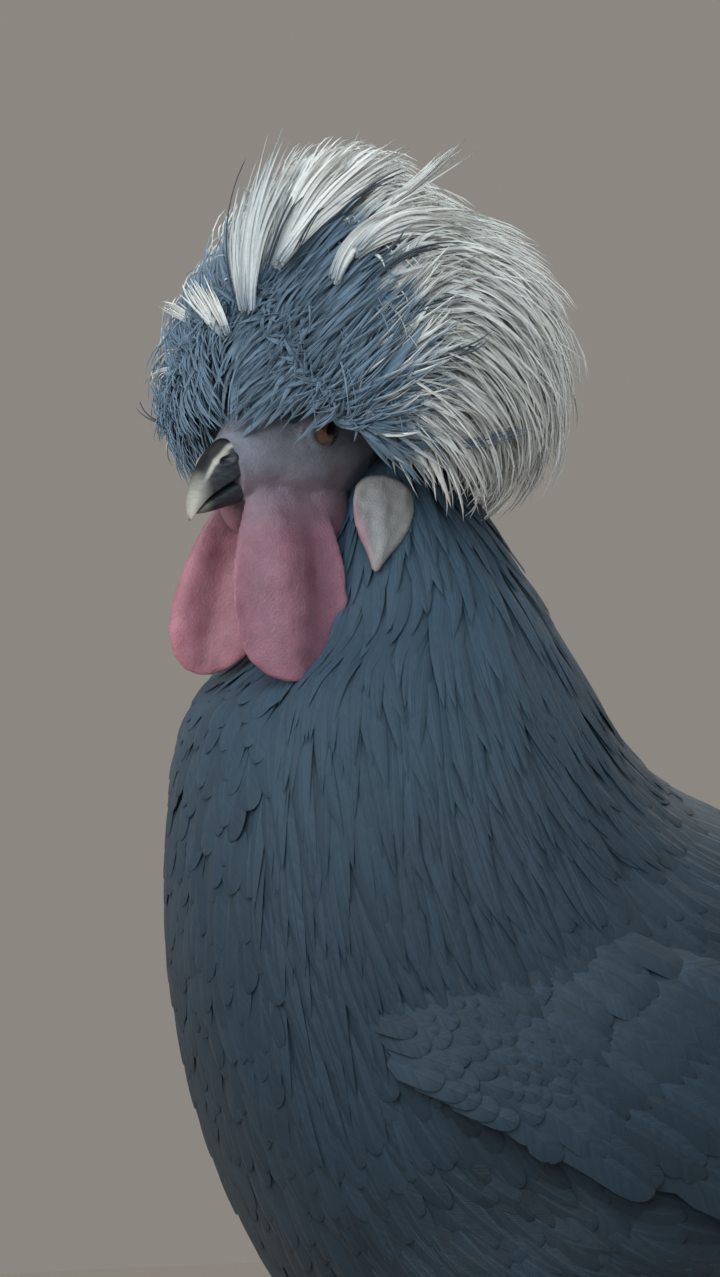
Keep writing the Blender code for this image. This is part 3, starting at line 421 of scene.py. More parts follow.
def quills(name, run, normal, width, thickness, camber, shade, pale, root_uv, patch=PATCH):
    """Many thin feathers joined in one mesh.

    Each is a closed diamond section along its run of points, ending in one point, with its edges drooping by
    camber. Attributes keep where a point is on its feather, for the materials.
    """
    n, k = run.shape[:2]
    along = unit(np.gradient(run, axis=1))
    side = unit(np.cross(along, normal))
    up = np.cross(side, along)
    w = width[..., None]
    thick = np.broadcast_to(thickness, (n, k))[..., None]
    bend = np.broadcast_to(camber, (n, k))[..., None]
    left, right = run - side * w - up * w * bend, run + side * w - up * w * bend
    rows = np.stack((left, run + up * thick, right, run - up * thick), axis=2)[:, :-1]
    points = np.concatenate((rows.reshape(n, -1, 3), run[:, -1:]), axis=1)
    each = points.shape[1]
    steps = k - 1

    stretches = np.linalg.norm(np.diff(run, axis=1), axis=2)
    length = np.concatenate((np.zeros((n, 1)), np.cumsum(stretches, axis=1)), 1)
    share = length / length[:, -1:]

    def spread(per_row, edge=None):
        edge = per_row if edge is None else edge
        grid = np.stack((edge, per_row, edge, per_row), axis=2)[:, :-1].reshape(n, -1)
        return np.concatenate((grid, per_row[:, -1:]), axis=1)

    t = spread(share)
    across = np.concatenate((np.tile((-1.0, 0, 1, 0), (n, steps)), np.zeros((n, 1))), axis=1)
    barb = spread(length, length - BARB_SLANT * width) + shade[:, None] * BARB_SHIFT

    first = (np.arange(n) * each)[:, None, None]
    ring = np.arange(4)
    quads = []
    for row in range(steps - 1):
        a, b = 4 * row + ring, 4 * row + (ring + 1) % 4
        quads.append(np.stack((a, b, b + 4, a + 4), -1))
    quads.append(np.array([[0, 3, 2, 1]]))
    quads = (first + np.concatenate(quads)[None]).reshape(-1, 4)
    last = 4 * (steps - 1)
    tris = np.stack((last + ring, last + (ring + 1) % 4, np.full(4, each - 1)), -1)
    tris = (first + tris[None]).reshape(-1, 3)

    mesh = bpy.data.meshes.new(name)
    mesh.vertices.add(n * each)
    mesh.vertices.foreach_set("co", points.reshape(-1))
    loops = np.concatenate((quads.reshape(-1), tris.reshape(-1))).astype(np.int32)
    starts = np.concatenate((np.arange(len(quads)) * 4, len(quads) * 4 + np.arange(len(tris)) * 3))
    starts = starts.astype(np.int32)
    mesh.loops.add(len(loops))
    mesh.loops.foreach_set("vertex_index", loops)
    mesh.polygons.add(len(starts))
    mesh.polygons.foreach_set("loop_start", starts)
    mesh.update(calc_edges=True)
    mark(mesh, along=t, across=across, barb=barb, shade=np.repeat(shade, each),
         pale=spread(np.broadcast_to(pale.reshape(n, -1), (n, k))))
    uv = root_uv[:, None] + patch * np.stack((across * 0.5, t - 0.5), -1)
    mesh.uv_layers.new(name="OFBake").data.foreach_set("uv", uv.reshape(-1, 2)[loops].reshape(-1))
    made = object_from(name, mesh)
    mesh.set_sharp_from_angle(angle=math.radians(75))
    return made


def bend_run(start, bend, end, t):
    """Runs from start to end that lean towards bend, for many feathers at once, at the shares t."""
    t = t[None, :, None]
    s, b, e = start[:, None], bend[:, None], end[:, None]
    return (1 - t) ** 2 * s + 2 * t * (1 - t) * b + t ** 2 * e


def arch_run(start, leave, arrive, end, t):
    """The same with two handles, one where a feather leaves its root and one before its tip."""
    t = t[None, :, None]
    s, a, b, e = start[:, None], leave[:, None], arrive[:, None], end[:, None]
    return (1 - t) ** 3 * s + 3 * t * (1 - t) ** 2 * a + 3 * t ** 2 * (1 - t) * b + t ** 3 * e


def shares(k, crowd=1.0):
    """Places of k rows along a feather, closer together towards the tip."""
    return 1 - (1 - np.linspace(0, 1, k)) ** crowd


def outline(t, bluntness, base=0.4, swell=2.5):
    """A feather's width along it: narrow at the root, even, and the rounder at the tip the blunter it is."""
    return np.minimum(1, base + swell * t) * (1 - t ** bluntness) ** (0.8 if bluntness < 4 else 0.5)


def scatter(surface, a_range, b_range, keep, spacing, rng, tries):
    """Roots spread evenly over a surface, about their spacing apart, as two arrays of places."""
    a = rng.uniform(*a_range, tries)
    b = rng.uniform(*b_range, tries)
    step = 0.01
    area = np.linalg.norm(np.cross(surface(a + step, b) - surface(a - step, b),
                                   surface(a, b + step) - surface(a, b - step)), axis=-1)
    chosen = (rng.uniform(0, np.percentile(area, 99), tries) < area) & keep(a, b)
    a, b = a[chosen], b[chosen]
    points, gaps = surface(a, b), np.broadcast_to(spacing(a, b), a.shape)
    cell = float(gaps.max())
    grid, kept = {}, []
    keys = np.floor(points / cell).astype(int)
    for i, (key, p, gap) in enumerate(zip(map(tuple, keys), points, gaps)):
        near = [j for dx in (-1, 0, 1) for dy in (-1, 0, 1) for dz in (-1, 0, 1)
                for j in grid.get((key[0] + dx, key[1] + dy, key[2] + dz), ())]
        if near and np.min(np.sum((points[near] - p) ** 2, axis=1)) < gap * gap:
            continue
        grid.setdefault(key, []).append(i)
        kept.append(i)
    return a[kept], b[kept]


def lie(surface, a, b, length, a_way, drift, lifts, t, inside, a_limits):
    """Runs of feathers that lie along a surface from their roots, and the surface's normals under them."""

    def speed(a):
        return np.linalg.norm(surface(a + 0.05, b) - surface(a - 0.05, b), axis=-1) / 0.1

    reach = length / speed(a)
    reach = length / speed(np.clip(a + a_way * reach / 2, *a_limits))
    t = t[None]
    aa = np.clip(a[:, None] + a_way * reach[:, None] * t, *a_limits)
    bb = b[:, None] + drift[:, None] * t
    normal = outward(surface, aa, bb, inside(aa))
    root, tip = lifts
    lift = root[:, None] + (tip - root)[:, None] * np.sin(t * math.pi * 0.55) / math.sin(math.pi * 0.55)
    return surface(aa, bb) + normal * lift[..., None], normal


def body_inside(place):
    """The middle of the body at places along it."""
    row = curve_row(BODY, place)
    return np.stack((0 * row[..., 0], (row[..., 0] + row[..., 2]) / 2, (row[..., 1] + row[..., 3]) / 2), -1)


def material(name, constants=None):
    """A new finish, its node tree, and its shader with these constants on it."""
    made = bpy.data.materials.new(name)
    made.use_nodes = True
    shader = made.node_tree.nodes["Principled BSDF"]
    for key, value in (constants or {}).items():
        shader.inputs[key].default_value = value
    return made, made.node_tree, shader


def scaled(colour, factor):
    """A colour made lighter or darker."""
    return tuple(min(1, factor * c) for c in colour)


def add(tree, kind, **settings):
    """A node with these inputs or settings."""
    node = tree.nodes.new(kind)
    for key, value in settings.items():
        if key in node.inputs:
            node.inputs[key].default_value = value
        else:
            setattr(node, key, value)
    return node


def attribute(tree, name):
    """The numbers that a mesh keeps under a name."""
    return add(tree, "ShaderNodeAttribute", attribute_name=name).outputs["Fac"]


def math_node(tree, operation, a, b=None, c=None, clamp=False):
    """Arithmetic on up to three numbers or sockets."""
    node = add(tree, "ShaderNodeMath", operation=operation, use_clamp=clamp)
    for socket, value in enumerate((a, b, c)):
        if value is None:
            continue
        if isinstance(value, (int, float)):
            node.inputs[socket].default_value = value
        else:
            tree.links.new(value, node.inputs[socket])
    return node.outputs[0]


def mix_colour(tree, factor, a, b, blend="MIX"):
    """Two colours mixed by a factor, each a number, a colour or a socket."""
    node = add(tree, "ShaderNodeMix", data_type="RGBA", blend_type=blend)
    for socket, value in ((0, factor), (6, a), (7, b)):
        if isinstance(value, (int, float)):
            node.inputs[socket].default_value = value
        elif isinstance(value, tuple):
            node.inputs[socket].default_value = (*value, 1)
        else:
            tree.links.new(value, node.inputs[socket])
    return node.outputs[2]


def texture(tree, kind, **settings):
    """The value of a noise or of cells in the piece's own space."""
    node = add(tree, "ShaderNodeTex" + kind, **settings)
    tree.links.new(add(tree, "ShaderNodeTexCoord").outputs["Object"], node.inputs["Vector"])
    return node.outputs[0]


def mottled(tree, factor, colour, low, high):
    """A colour that varies by a factor between a darker and a lighter tone of its own."""
    return mix_colour(tree, factor, scaled(colour, low), scaled(colour, high))


def relief(tree, shader, height, strength, depth):
    """Fine relief on a finish, over the form that its mesh has."""
    bump = add(tree, "ShaderNodeBump", Strength=strength, Distance=depth)
    tree.links.new(height, bump.inputs["Height"])
    tree.links.new(bump.outputs[0], shader.inputs["Normal"])


def ramp(tree, value, stops):
    """Colours at stops of a value."""
    node = tree.nodes.new("ShaderNodeValToRGB")
    tree.links.new(value, node.inputs[0])
    while len(node.color_ramp.elements) > 1:
        node.color_ramp.elements.remove(node.color_ramp.elements[-1])
    node.color_ramp.elements[0].position = stops[0][0]
    node.color_ramp.elements[0].color = (*stops[0][1], 1)
    for place, colour in stops[1:]:
        node.color_ramp.elements.new(place).color = (*colour, 1)
    return node.outputs[0]


def plume_material(name, dark, light, rough, sheen, barbs=0.5):
    """A feather's finish: slanting barbs and a shaft, a tint that is partly its own tone and partly painted
    shade, and pale where it is marked so.
    """
    made, tree, shader = material(name, {"Sheen Weight": sheen, "Sheen Roughness": 0.5,
                                         "Specular IOR Level": 0.3})
    along, across, barb, shade, pale = (attribute(tree, label) for label in
                                        ("along", "across", "barb", "shade", "pale"))
    lines = []
    for size, detail in ((2.6, {"Detail": 3.0, "Roughness": 0.7}), (0.5, {"Detail": 2.0})):
        noise = add(tree, "ShaderNodeTexNoise", noise_dimensions="1D", Scale=size, **detail)
        tree.links.new(barb, noise.inputs["W"])
        lines.append(noise.outputs[0])
    fine, broad = lines

    def times(a, b):
        return math_node(tree, "MULTIPLY", a, b)

    both = math_node(tree, "ADD", times(fine, 0.4), times(broad, 0.6))
    # The tint: each feather's own tone, plus painted shade down the body and in the crest's near-black
    # strands.
    value = times(math_node(tree, "MULTIPLY_ADD", shade, 0.24, 0.88),
                  math_node(tree, "MULTIPLY_ADD", both, barbs, 1 - barbs / 2))
    grey = add(tree, "ShaderNodeCombineColor")
    for socket in range(3):
        tree.links.new(value, grey.inputs[socket])
    colour = mix_colour(tree, 1.0, mix_colour(tree, pale, dark, light), grey.outputs[0], "MULTIPLY")
    shaft = math_node(tree, "SUBTRACT", 1.0, math_node(tree, "ABSOLUTE", across), clamp=True)
    shaft = math_node(tree, "POWER", shaft, 14.0)
    down = math_node(tree, "SUBTRACT", 1.0, along, clamp=True)
    colour = mix_colour(tree, times(shaft, times(down, 0.35)), colour,
                        tuple(min(1, c * 2.2 + 0.02) for c in dark))
    tree.links.new(colour, shader.inputs["Base Color"])
    height = math_node(tree, "ADD", fine, times(broad, 0.8))
    relief(tree, shader, math_node(tree, "ADD", height, times(shaft, 0.8)), strength=0.55, depth=0.00025)
    tree.links.new(math_node(tree, "MULTIPLY_ADD", fine, 0.25, rough), shader.inputs["Roughness"])
    return made


def finish_piece(piece, finish, slot, *replaced):
    """Gives a piece its finish, its body and the nodes it stands for, which it hides. Its slot is not used.
    """
    piece.data.materials.clear()
    piece.data.materials.append(finish)
    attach(piece, "root")
    if replaced:
        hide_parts(*replaced)


def loft(shape, rings, hoop=False):
    """Bridges rings of points, each laid from a circle, and closes both ends, or joins them into a hoop."""
    loops = []
    for ring in rings:
        corners = bmesh.ops.create_circle(shape, segments=len(ring), radius=1)["verts"]
        for corner, spot in zip(corners, ring):
            corner.co = spot
        loops.append(list(dict.fromkeys(e for v in corners for e in v.link_edges)))
    for before, after in zip(loops, loops[1:] + (loops[:1] if hoop else [])):
        bmesh.ops.bridge_loops(shape, edges=before + after)
    for end in () if hoop else (loops[0], loops[-1]):
        bmesh.ops.edgeloop_fill(shape, edges=end)


def ball(shape, centre, axes, radii, segments=24, rings=16):
    """A round lump: radii along the three rows of axes."""
    made = bmesh.ops.create_uvsphere(shape, u_segments=segments, v_segments=rings, radius=1)["verts"]
    for corner in made:
        corner.co = Vector(centre + (np.array(corner.co) * radii) @ axes)


def melt(name, shape, cell, smooth):
    """Melts the closed lumps in a bmesh into one smooth skin of a given cell size, in millimetres."""
    rough = bpy.data.objects.new(name, mesh_from(name, shape))
    bpy.context.scene.collection.objects.link(rough)
    cells = rough.modifiers.new("cells", "REMESH")
    cells.mode = "VOXEL"
    cells.voxel_size = cell
    soften = rough.modifiers.new("soften", "SMOOTH")
    soften.factor, soften.iterations = 0.5, smooth
    graph = bpy.context.evaluated_depsgraph_get()
    melted = bpy.data.meshes.new_from_object(rough.evaluated_get(graph))
    bpy.data.objects.remove(rough)
    melted.name = name
    return object_from(name, melted)


def ring_of(surface, place, count, lift=0.0, inside=None):
    """A ring of points round a surface, lifted off it or sunk into it."""
    angle = circle(count)
    place = np.full(count, float(place))
    points = surface(place, angle)
    if lift:
        points = points + outward(surface, place, angle, inside) * lift
    return points


class PlumageSettings(bpy.types.PropertyGroup):
    """Sizes and colours of the small feathers."""
    dark: FloatVectorProperty(
        name="Dark", description="Body plumage", subtype="COLOR", size=3, default=(0.024, 0.049, 0.074))
    crest_dark: FloatVectorProperty(
        name="Crest front", description="Dark front of the crest", subtype="COLOR", size=3,
        default=(0.142, 0.218, 0.296))
    white: FloatVectorProperty(
        name="Crest white", description="White of the crest", subtype="COLOR", size=3,
        default=(0.74, 0.75, 0.72))
    hackle: FloatProperty(
        name="Hackle", description="Length of the neck's feathers", default=0.034, unit="LENGTH")
    breast: FloatProperty(
        name="Breast", description="Length of the breast's feathers", default=0.024, unit="LENGTH")
    saddle: FloatProperty(
        name="Saddle", description="Length of the rump's hanging feathers", default=0.062, unit="LENGTH")
    spacing: FloatProperty(
        name="Spacing", description="Distance between body feathers", default=0.0052, unit="LENGTH")
    crest_count: IntProperty(
        name="Crest feathers", description="How many make the crest", default=3000, subtype="UNSIGNED")


class FaceSettings(bpy.types.PropertyGroup):
    """Colours of the bare skin, bill and eyes."""
    red: FloatVectorProperty(
        name="Wattles", description="Red skin", subtype="COLOR", size=3, default=(0.255, 0.12, 0.16))
    # The face's slate-grey is painted shade from the crest, over skin that is red.
    face: FloatVectorProperty(
        name="Face", description="Skin round the eye", subtype="COLOR", size=3,
        default=(0.155, 0.162, 0.195))
    lobe: FloatVectorProperty(
        name="Earlobe", description="White earlobes", subtype="COLOR", size=3, default=(0.27, 0.275, 0.27))
    horn: FloatVectorProperty(
        name="Bill", description="Dark horn", subtype="COLOR", size=3, default=(0.03, 0.035, 0.042))
    # The pale horn of the tip, and also the colour of the painted highlight streak under the bill's ridge.
    horn_tip: FloatVectorProperty(
        name="Bill tip", description="Pale horn at the tip", subtype="COLOR", size=3,
        default=(0.45, 0.44, 0.38))
    # Red-brown iris, darkened further as painted shade from the crest over the eye.
    iris: FloatVectorProperty(
        name="Iris", description="Red-brown iris", subtype="COLOR", size=3, default=(0.085, 0.028, 0.014))
    fold: FloatProperty(
        name="Wattle folds", description="Depth of the folds", default=0.0019, unit="LENGTH")


class LegSettings(bpy.types.PropertyGroup):
    """Colours of the legs."""
    scale: FloatVectorProperty(
        name="Scales", description="Slate scales", subtype="COLOR", size=3, default=(0.085, 0.10, 0.12))
    sole: FloatVectorProperty(
        name="Soles", description="Paler skin between scales", subtype="COLOR", size=3,
        default=(0.20, 0.20, 0.19))


class StageSettings(bpy.types.PropertyGroup):
    """The floor, lights and camera."""
    floor: FloatVectorProperty(
        name="Floor", description="Pale floor", subtype="COLOR", size=3, default=(0.30, 0.275, 0.25))
    distance: FloatProperty(
        name="Distance", description="Camera to bird", default=1.2, unit="LENGTH")


def body_style(place, angle):
    """Which feathers grow where: hackles, long ones on the rump, down at the rear, else round ones."""
    turn = np.abs(signed(angle))
    hackle = (place > 8.6) & (turn < 2.5 - 0.06 * (place - 9)) | (place > 12.5)
    saddle = (place < 5.4) & (turn < 1.3)
    fluff = (place < 5) & (turn > 1.5 + 0.12 * place)
    return hackle, saddle, fluff, turn


def grow_body_coat(settings):
    """The small feathers of neck, breast, belly, rump, rear and thighs."""
    rng = np.random.default_rng(SEED)
    spacing = settings.spacing / MM

    def gaps(place, angle):
        hackle, saddle, fluff, _ = body_style(place, angle)
        nape = (place > 5.5) & (place < 10)
        return np.where(hackle, 0.68 * spacing - 0.08 * (place - 9) * (place > 9),
                        np.where(saddle, 0.66 * spacing, np.where(nape | fluff, 0.82 * spacing, spacing)))

    place, angle = scatter(body_surface, (0.35, 14.9), (0, FULL_TURN), lambda a, b: a > 0, gaps, rng,
                           tries=190000)
    hackle, saddle, fluff, turn = body_style(place, angle)
    n = len(place)
    top = np.clip((place - 12) / 3, 0, 1)
    length = np.full(n, settings.breast / MM) * (1 - 0.25 * (turn > 2.2) * (place > 10))
    length[hackle] = (settings.hackle / MM) * (1 - 0.62 * top[hackle])
    length[saddle] = (settings.saddle / MM) * np.clip(0.5 + 0.2 * (5.4 - place[saddle]), 0.5, 1)
    length *= rng.uniform(0.85, 1.12, n)
    length[fluff] *= rng.uniform(0.9, 1.5, fluff.sum())
    half = np.where(hackle, 2.3 - 0.8 * top, np.where(saddle, 2.1, np.where(fluff, 1.9, 4.0)))
    half = half * rng.uniform(0.88, 1.12, n)
    side = np.where(signed(angle) > 0, 1, -1)
    drift = rng.normal(0, 0.05, n) * np.where(fluff, 2.2, 1)
    drift = drift + side * np.where(saddle, 0.25 + 0.35 * turn, 0.0)
    tip = np.where(hackle, rng.uniform(0.0, 0.8, n),
                   np.where(saddle, rng.uniform(0.2, 1.8, n),
                            rng.uniform(0.0, 0.55, n) * np.where(fluff, 3, 1)))
    # Partly painted shade: darker down the breast and belly, lighter up the neck.
    shade = rng.uniform(0, 1, n) + np.interp(place, *BODY_SHADE)
    # Painted shade: the underside of the lower body is darker still.
    shade = shade - np.interp(place, (5.2, 6.6), (0.35, 0.8)) * (turn > 1.7) * (place < 8)
    uv = round_map(place / 15, angle)
    finish = plume_material("dark_plumage", tuple(settings.dark), tuple(settings.white),
                            rough=0.42, sheen=0.08)
    plain = ~hackle & ~saddle
    for name, these in (("hackles_front", hackle & (place > 11.4)),
                        ("hackles_back", hackle & (place <= 11.4)),
                        ("saddle", saddle), ("breast_plumage", plain & (place > 6.6)),
                        ("belly_plumage", plain & ~fluff & (place <= 6.6)), ("fluff", fluff)):
        lance = name.startswith(("hackles", "saddle", "fluff"))
        t = shares(9, 1.2 if lance else 1.8)
        count = these.sum()
        run, normal = lie(body_surface, place[these], angle[these], length[these], -1, drift[these],
                          (np.full(count, -1.7), tip[these]), t, body_inside, (0.02, 15))
        run, normal = over_thighs(run, normal)
        widths = half[these, None] * outline(t, LANCE if lance else 5)[None]
        piece = quills(name, run, normal, widths, 0.2, 0.3 if lance else 0.22, shade[these],
                       np.zeros(count), uv[these])
        finish_piece(piece, finish, "dark_feather")
    grow_thigh_coat(rng, finish)


def grow_thigh_coat(rng, finish):
    """The small feathers of both thighs."""
    t = shares(8, 1.8)
    for side, word in SIDES:
        surface = thigh_surface(side)

        def core(a):
            row = curve_row(THIGH, a)
            return np.stack((side * row[..., 0], row[..., 1], row[..., 2]), -1)

        a, b = scatter(surface, (1.6, 6.0), (0, FULL_TURN), lambda a, b: a > 0, lambda a, b: 4.1 - 0.36 * a,
                       rng, tries=30000)
        n = len(a)
        length, drift = (19 - 1.9 * a) * rng.uniform(0.85, 1.15, n), rng.normal(0, 0.06, n)
        tip = rng.uniform(0.0, 0.6, n) - 0.8 * np.clip(3.0 - a, 0, 1)
        run, normal = lie(surface, a, b, length, 1, drift, (np.full(n, -1.6), tip), t, core, (0.1, 6.9))
        widths = (3.6 - 0.4 * a)[:, None] * outline(t, 5)[None]
        # The thighs' feathers are darker, the same partly painted shade as the lower body.
        piece = quills("thigh_plumage_" + word, run, normal, widths, 0.2, 0.22, rng.uniform(-1.2, -0.1, n),
                       np.zeros(n), round_map(a / 6, b))
        finish_piece(piece, finish, "dark_feather")


class POLISH_OT_skin(bpy.types.Operator):
    """One smooth skin under the plumage of neck, body, thighs and tail root"""
    bl_idname = "polish.skin"
    bl_label = "Body skin"

    def execute(self, context):
        shape = bmesh.new()
        loft(shape, [ring_of(body_surface, place, 48, -1.9, body_inside(place))
                     for place in np.linspace(0.2, 15, 46)])
        for side, _ in SIDES:
            surface = thigh_surface(side)
            rings = []
            for place in np.linspace(0.1, 5.6, 20):
                row = curve_row(THIGH, place)
                rings.append(ring_of(surface, place, 28, -1.6, np.array((side * row[0], row[1], row[2]))))
            loft(shape, rings)
        skin = melt("body_skin", shape, cell=2.2, smooth=6)
        made, tree, shader = material("skin_under_plumage", {"Roughness": 0.8})
        noise = texture(tree, "Noise", Scale=300.0, Detail=4.0)
        tree.links.new(mottled(tree, noise, context.scene.polish_plumage.dark, 0.5, 1.1),
                       shader.inputs["Base Color"])
        finish_piece(skin, made, "dark_feather", "torso", "neck", "thigh_left", "thigh_right")
        return {"FINISHED"}


class POLISH_OT_coat(bpy.types.Operator):
    """Hackles, breast, belly, saddle and thigh feathers, lying along the body"""
    bl_idname = "polish.coat"
    bl_label = "Body plumage"

    def execute(self, context):
        grow_body_coat(context.scene.polish_plumage)
        return {"FINISHED"}


class POLISH_OT_wings(bpy.types.Operator):
    """The folded wings: flight feathers, tiers of coverts and the small feathers of the bow"""
    bl_idname = "polish.wings"
    bl_label = "Wings"

    def execute(self, context):
        settings = context.scene.polish_plumage
        rng = np.random.default_rng(SEED + 1)
        finish = plume_material("wing_plumage", scaled(settings.dark, 0.8), tuple(settings.white),
                                rough=0.4, sheen=0.06, barbs=1.0)
        for side, word in SIDES:
            surface = wing_surface(side)
            self.flight(rng, surface, word, finish)
            self.bed(surface, side, word)
            self.bow(rng, surface, word, finish)
        return {"FINISHED"}

    def flight(self, rng, surface, word, finish):
        """Tiers of long feathers, each over the one before"""
        runs, normals, widths, roots = [], [], [], []
        t = shares(20, 2.0)
        high = np.interp(t, (0, 0.55, 0.85, 1), (0, 1, 0.97, 0.8))
        for count, root0, root1, tip0, tip1, half, lift in WING_TIERS:
            share = np.linspace(0, 1, count)[:, None]
            root = np.array(root0) + (np.array(root1) - root0) * share + rng.normal(0, 0.6, (count, 2))
            tip = np.array(tip0) + (np.array(tip1) - tip0) * share
            tip += rng.normal(0, 1, (count, 2)) * (2.2 if half < 6 else 1.4, 0.7)
            place = root[:, None] + (tip - root)[:, None] * t[None, :, None]
            place[..., 1] += 3 * np.sin(math.pi * t)[None]
            a, b = place[..., 0], place[..., 1]
            normal = outward(surface, a, b, WING_INSIDE)
            raised = -1.4 + (lift + 1.4 + 0.07 * np.arange(count)
                             + rng.uniform(0, 0.25, count))[:, None] * high[None]
            roots.append(root)
            runs.append(surface(a, b) + normal * raised[..., None])
            normals.append(unit(normal))
            widths.append(np.tile(half * outline(t, VANE), (count, 1)))
        run, normal, width = (np.concatenate(part) for part in (runs, normals, widths))
        n = len(run)
        width *= 1 - 0.22 * (rng.uniform(0, 1, width.shape) < 0.1) * (t > 0.45)
        uv = (np.concatenate(roots) + (20, 45)) / (200, 90)
        piece = quills("wing_feathers_" + word, run, normal, width, 0.3, 0.15, rng.uniform(-0.6, 1.2, n),
                       np.zeros(n), uv)
        finish_piece(piece, finish, "dark_feather", "wing_" + word)

    def bed(self, surface, side, word):
        """A cushion under the feathers, which closes the gaps between them"""
        shape = bmesh.new()
        turn = circle(36)
        rings = []
        for share in np.linspace(0.12, 1, 8):
            a = 72 + 72 * share * np.cos(turn)
            b = -2 + 32 * share * np.sin(turn) * (1 - 0.08 * np.cos(turn))
            spot = surface(a, b)
            spot[:, 0] -= side * (1.5 + 6 * share ** 5)
            rings.append(spot)
        rings.append(rings[-1] - side * 12 * ACROSS)
        loft(shape, rings)
        bed = melt("wing_bed_" + word, shape, cell=1.6, smooth=3)
        finish_piece(bed, bpy.data.materials["skin_under_plumage"], "dark_feather")

    def bow(self, rng, surface, word, finish):
        """The small round feathers at the wing's shoulder"""

        def near(a, b):
            return ((a - 12) / 24) ** 2 + ((b - 3) / 25) ** 2 < 1

        a, b = scatter(surface, (-10, 34), (-22, 27), near, lambda a, b: 3.7 + 0 * a, rng, tries=9000)
        n = len(a)
        fall = np.clip(1 - a / 90, 0.2, 1)
        t = shares(8, 1.8)
        aa = a[:, None] + (13 * rng.uniform(0.85, 1.15, n))[:, None] * t[None]
        bb = b[:, None] - 2.0 * t[None] + rng.normal(0, 0.3, n)[:, None] * t[None]
        lift = -0.6 + (3.2 * fall + 1.6)[:, None] * np.minimum(1, 0.3 + t)[None]
        normal = outward(surface, aa, bb, WING_INSIDE)
        run = surface(aa, bb) + normal * lift[..., None]
        piece = quills("wing_bow_" + word, run, normal, np.tile(3.4 * outline(t, ROUND), (n, 1)), 0.2, 0.2,
                       rng.uniform(0, 1, n), np.zeros(n), root_map((a + 10) / 80, (b + 30) / 60))
        finish_piece(piece, finish, "dark_feather")


def sickle_runs(rows, side, t):
    """Runs of the long curved tail feathers, and the normals of their flat outer faces."""
    runs, normals = [], []
    k = len(t)
    for y, z, rise, turn, length, _, out in rows:
        start = np.array((side * out, y, z))
        slope = np.radians(rise - turn * ((t[1:] + t[:-1]) / 2) ** 1.3)
        step = np.stack((np.full(k - 1, side * (0.03 + 0.012 * out)), np.cos(slope), np.sin(slope)), -1)
        step = unit(step) * (length * np.diff(t))[:, None]
        run = np.vstack((start, start + np.cumsum(step, axis=0)))
        along = unit(np.gradient(run, axis=0))
        across = np.stack((np.full(k, side * 0.12), -along[:, 2], along[:, 1]), -1)
        facing = unit(np.cross(across, along))
        runs.append(run)
        normals.append(facing * np.sign(facing[:, :1]) * side)
    return np.array(runs), np.array(normals)


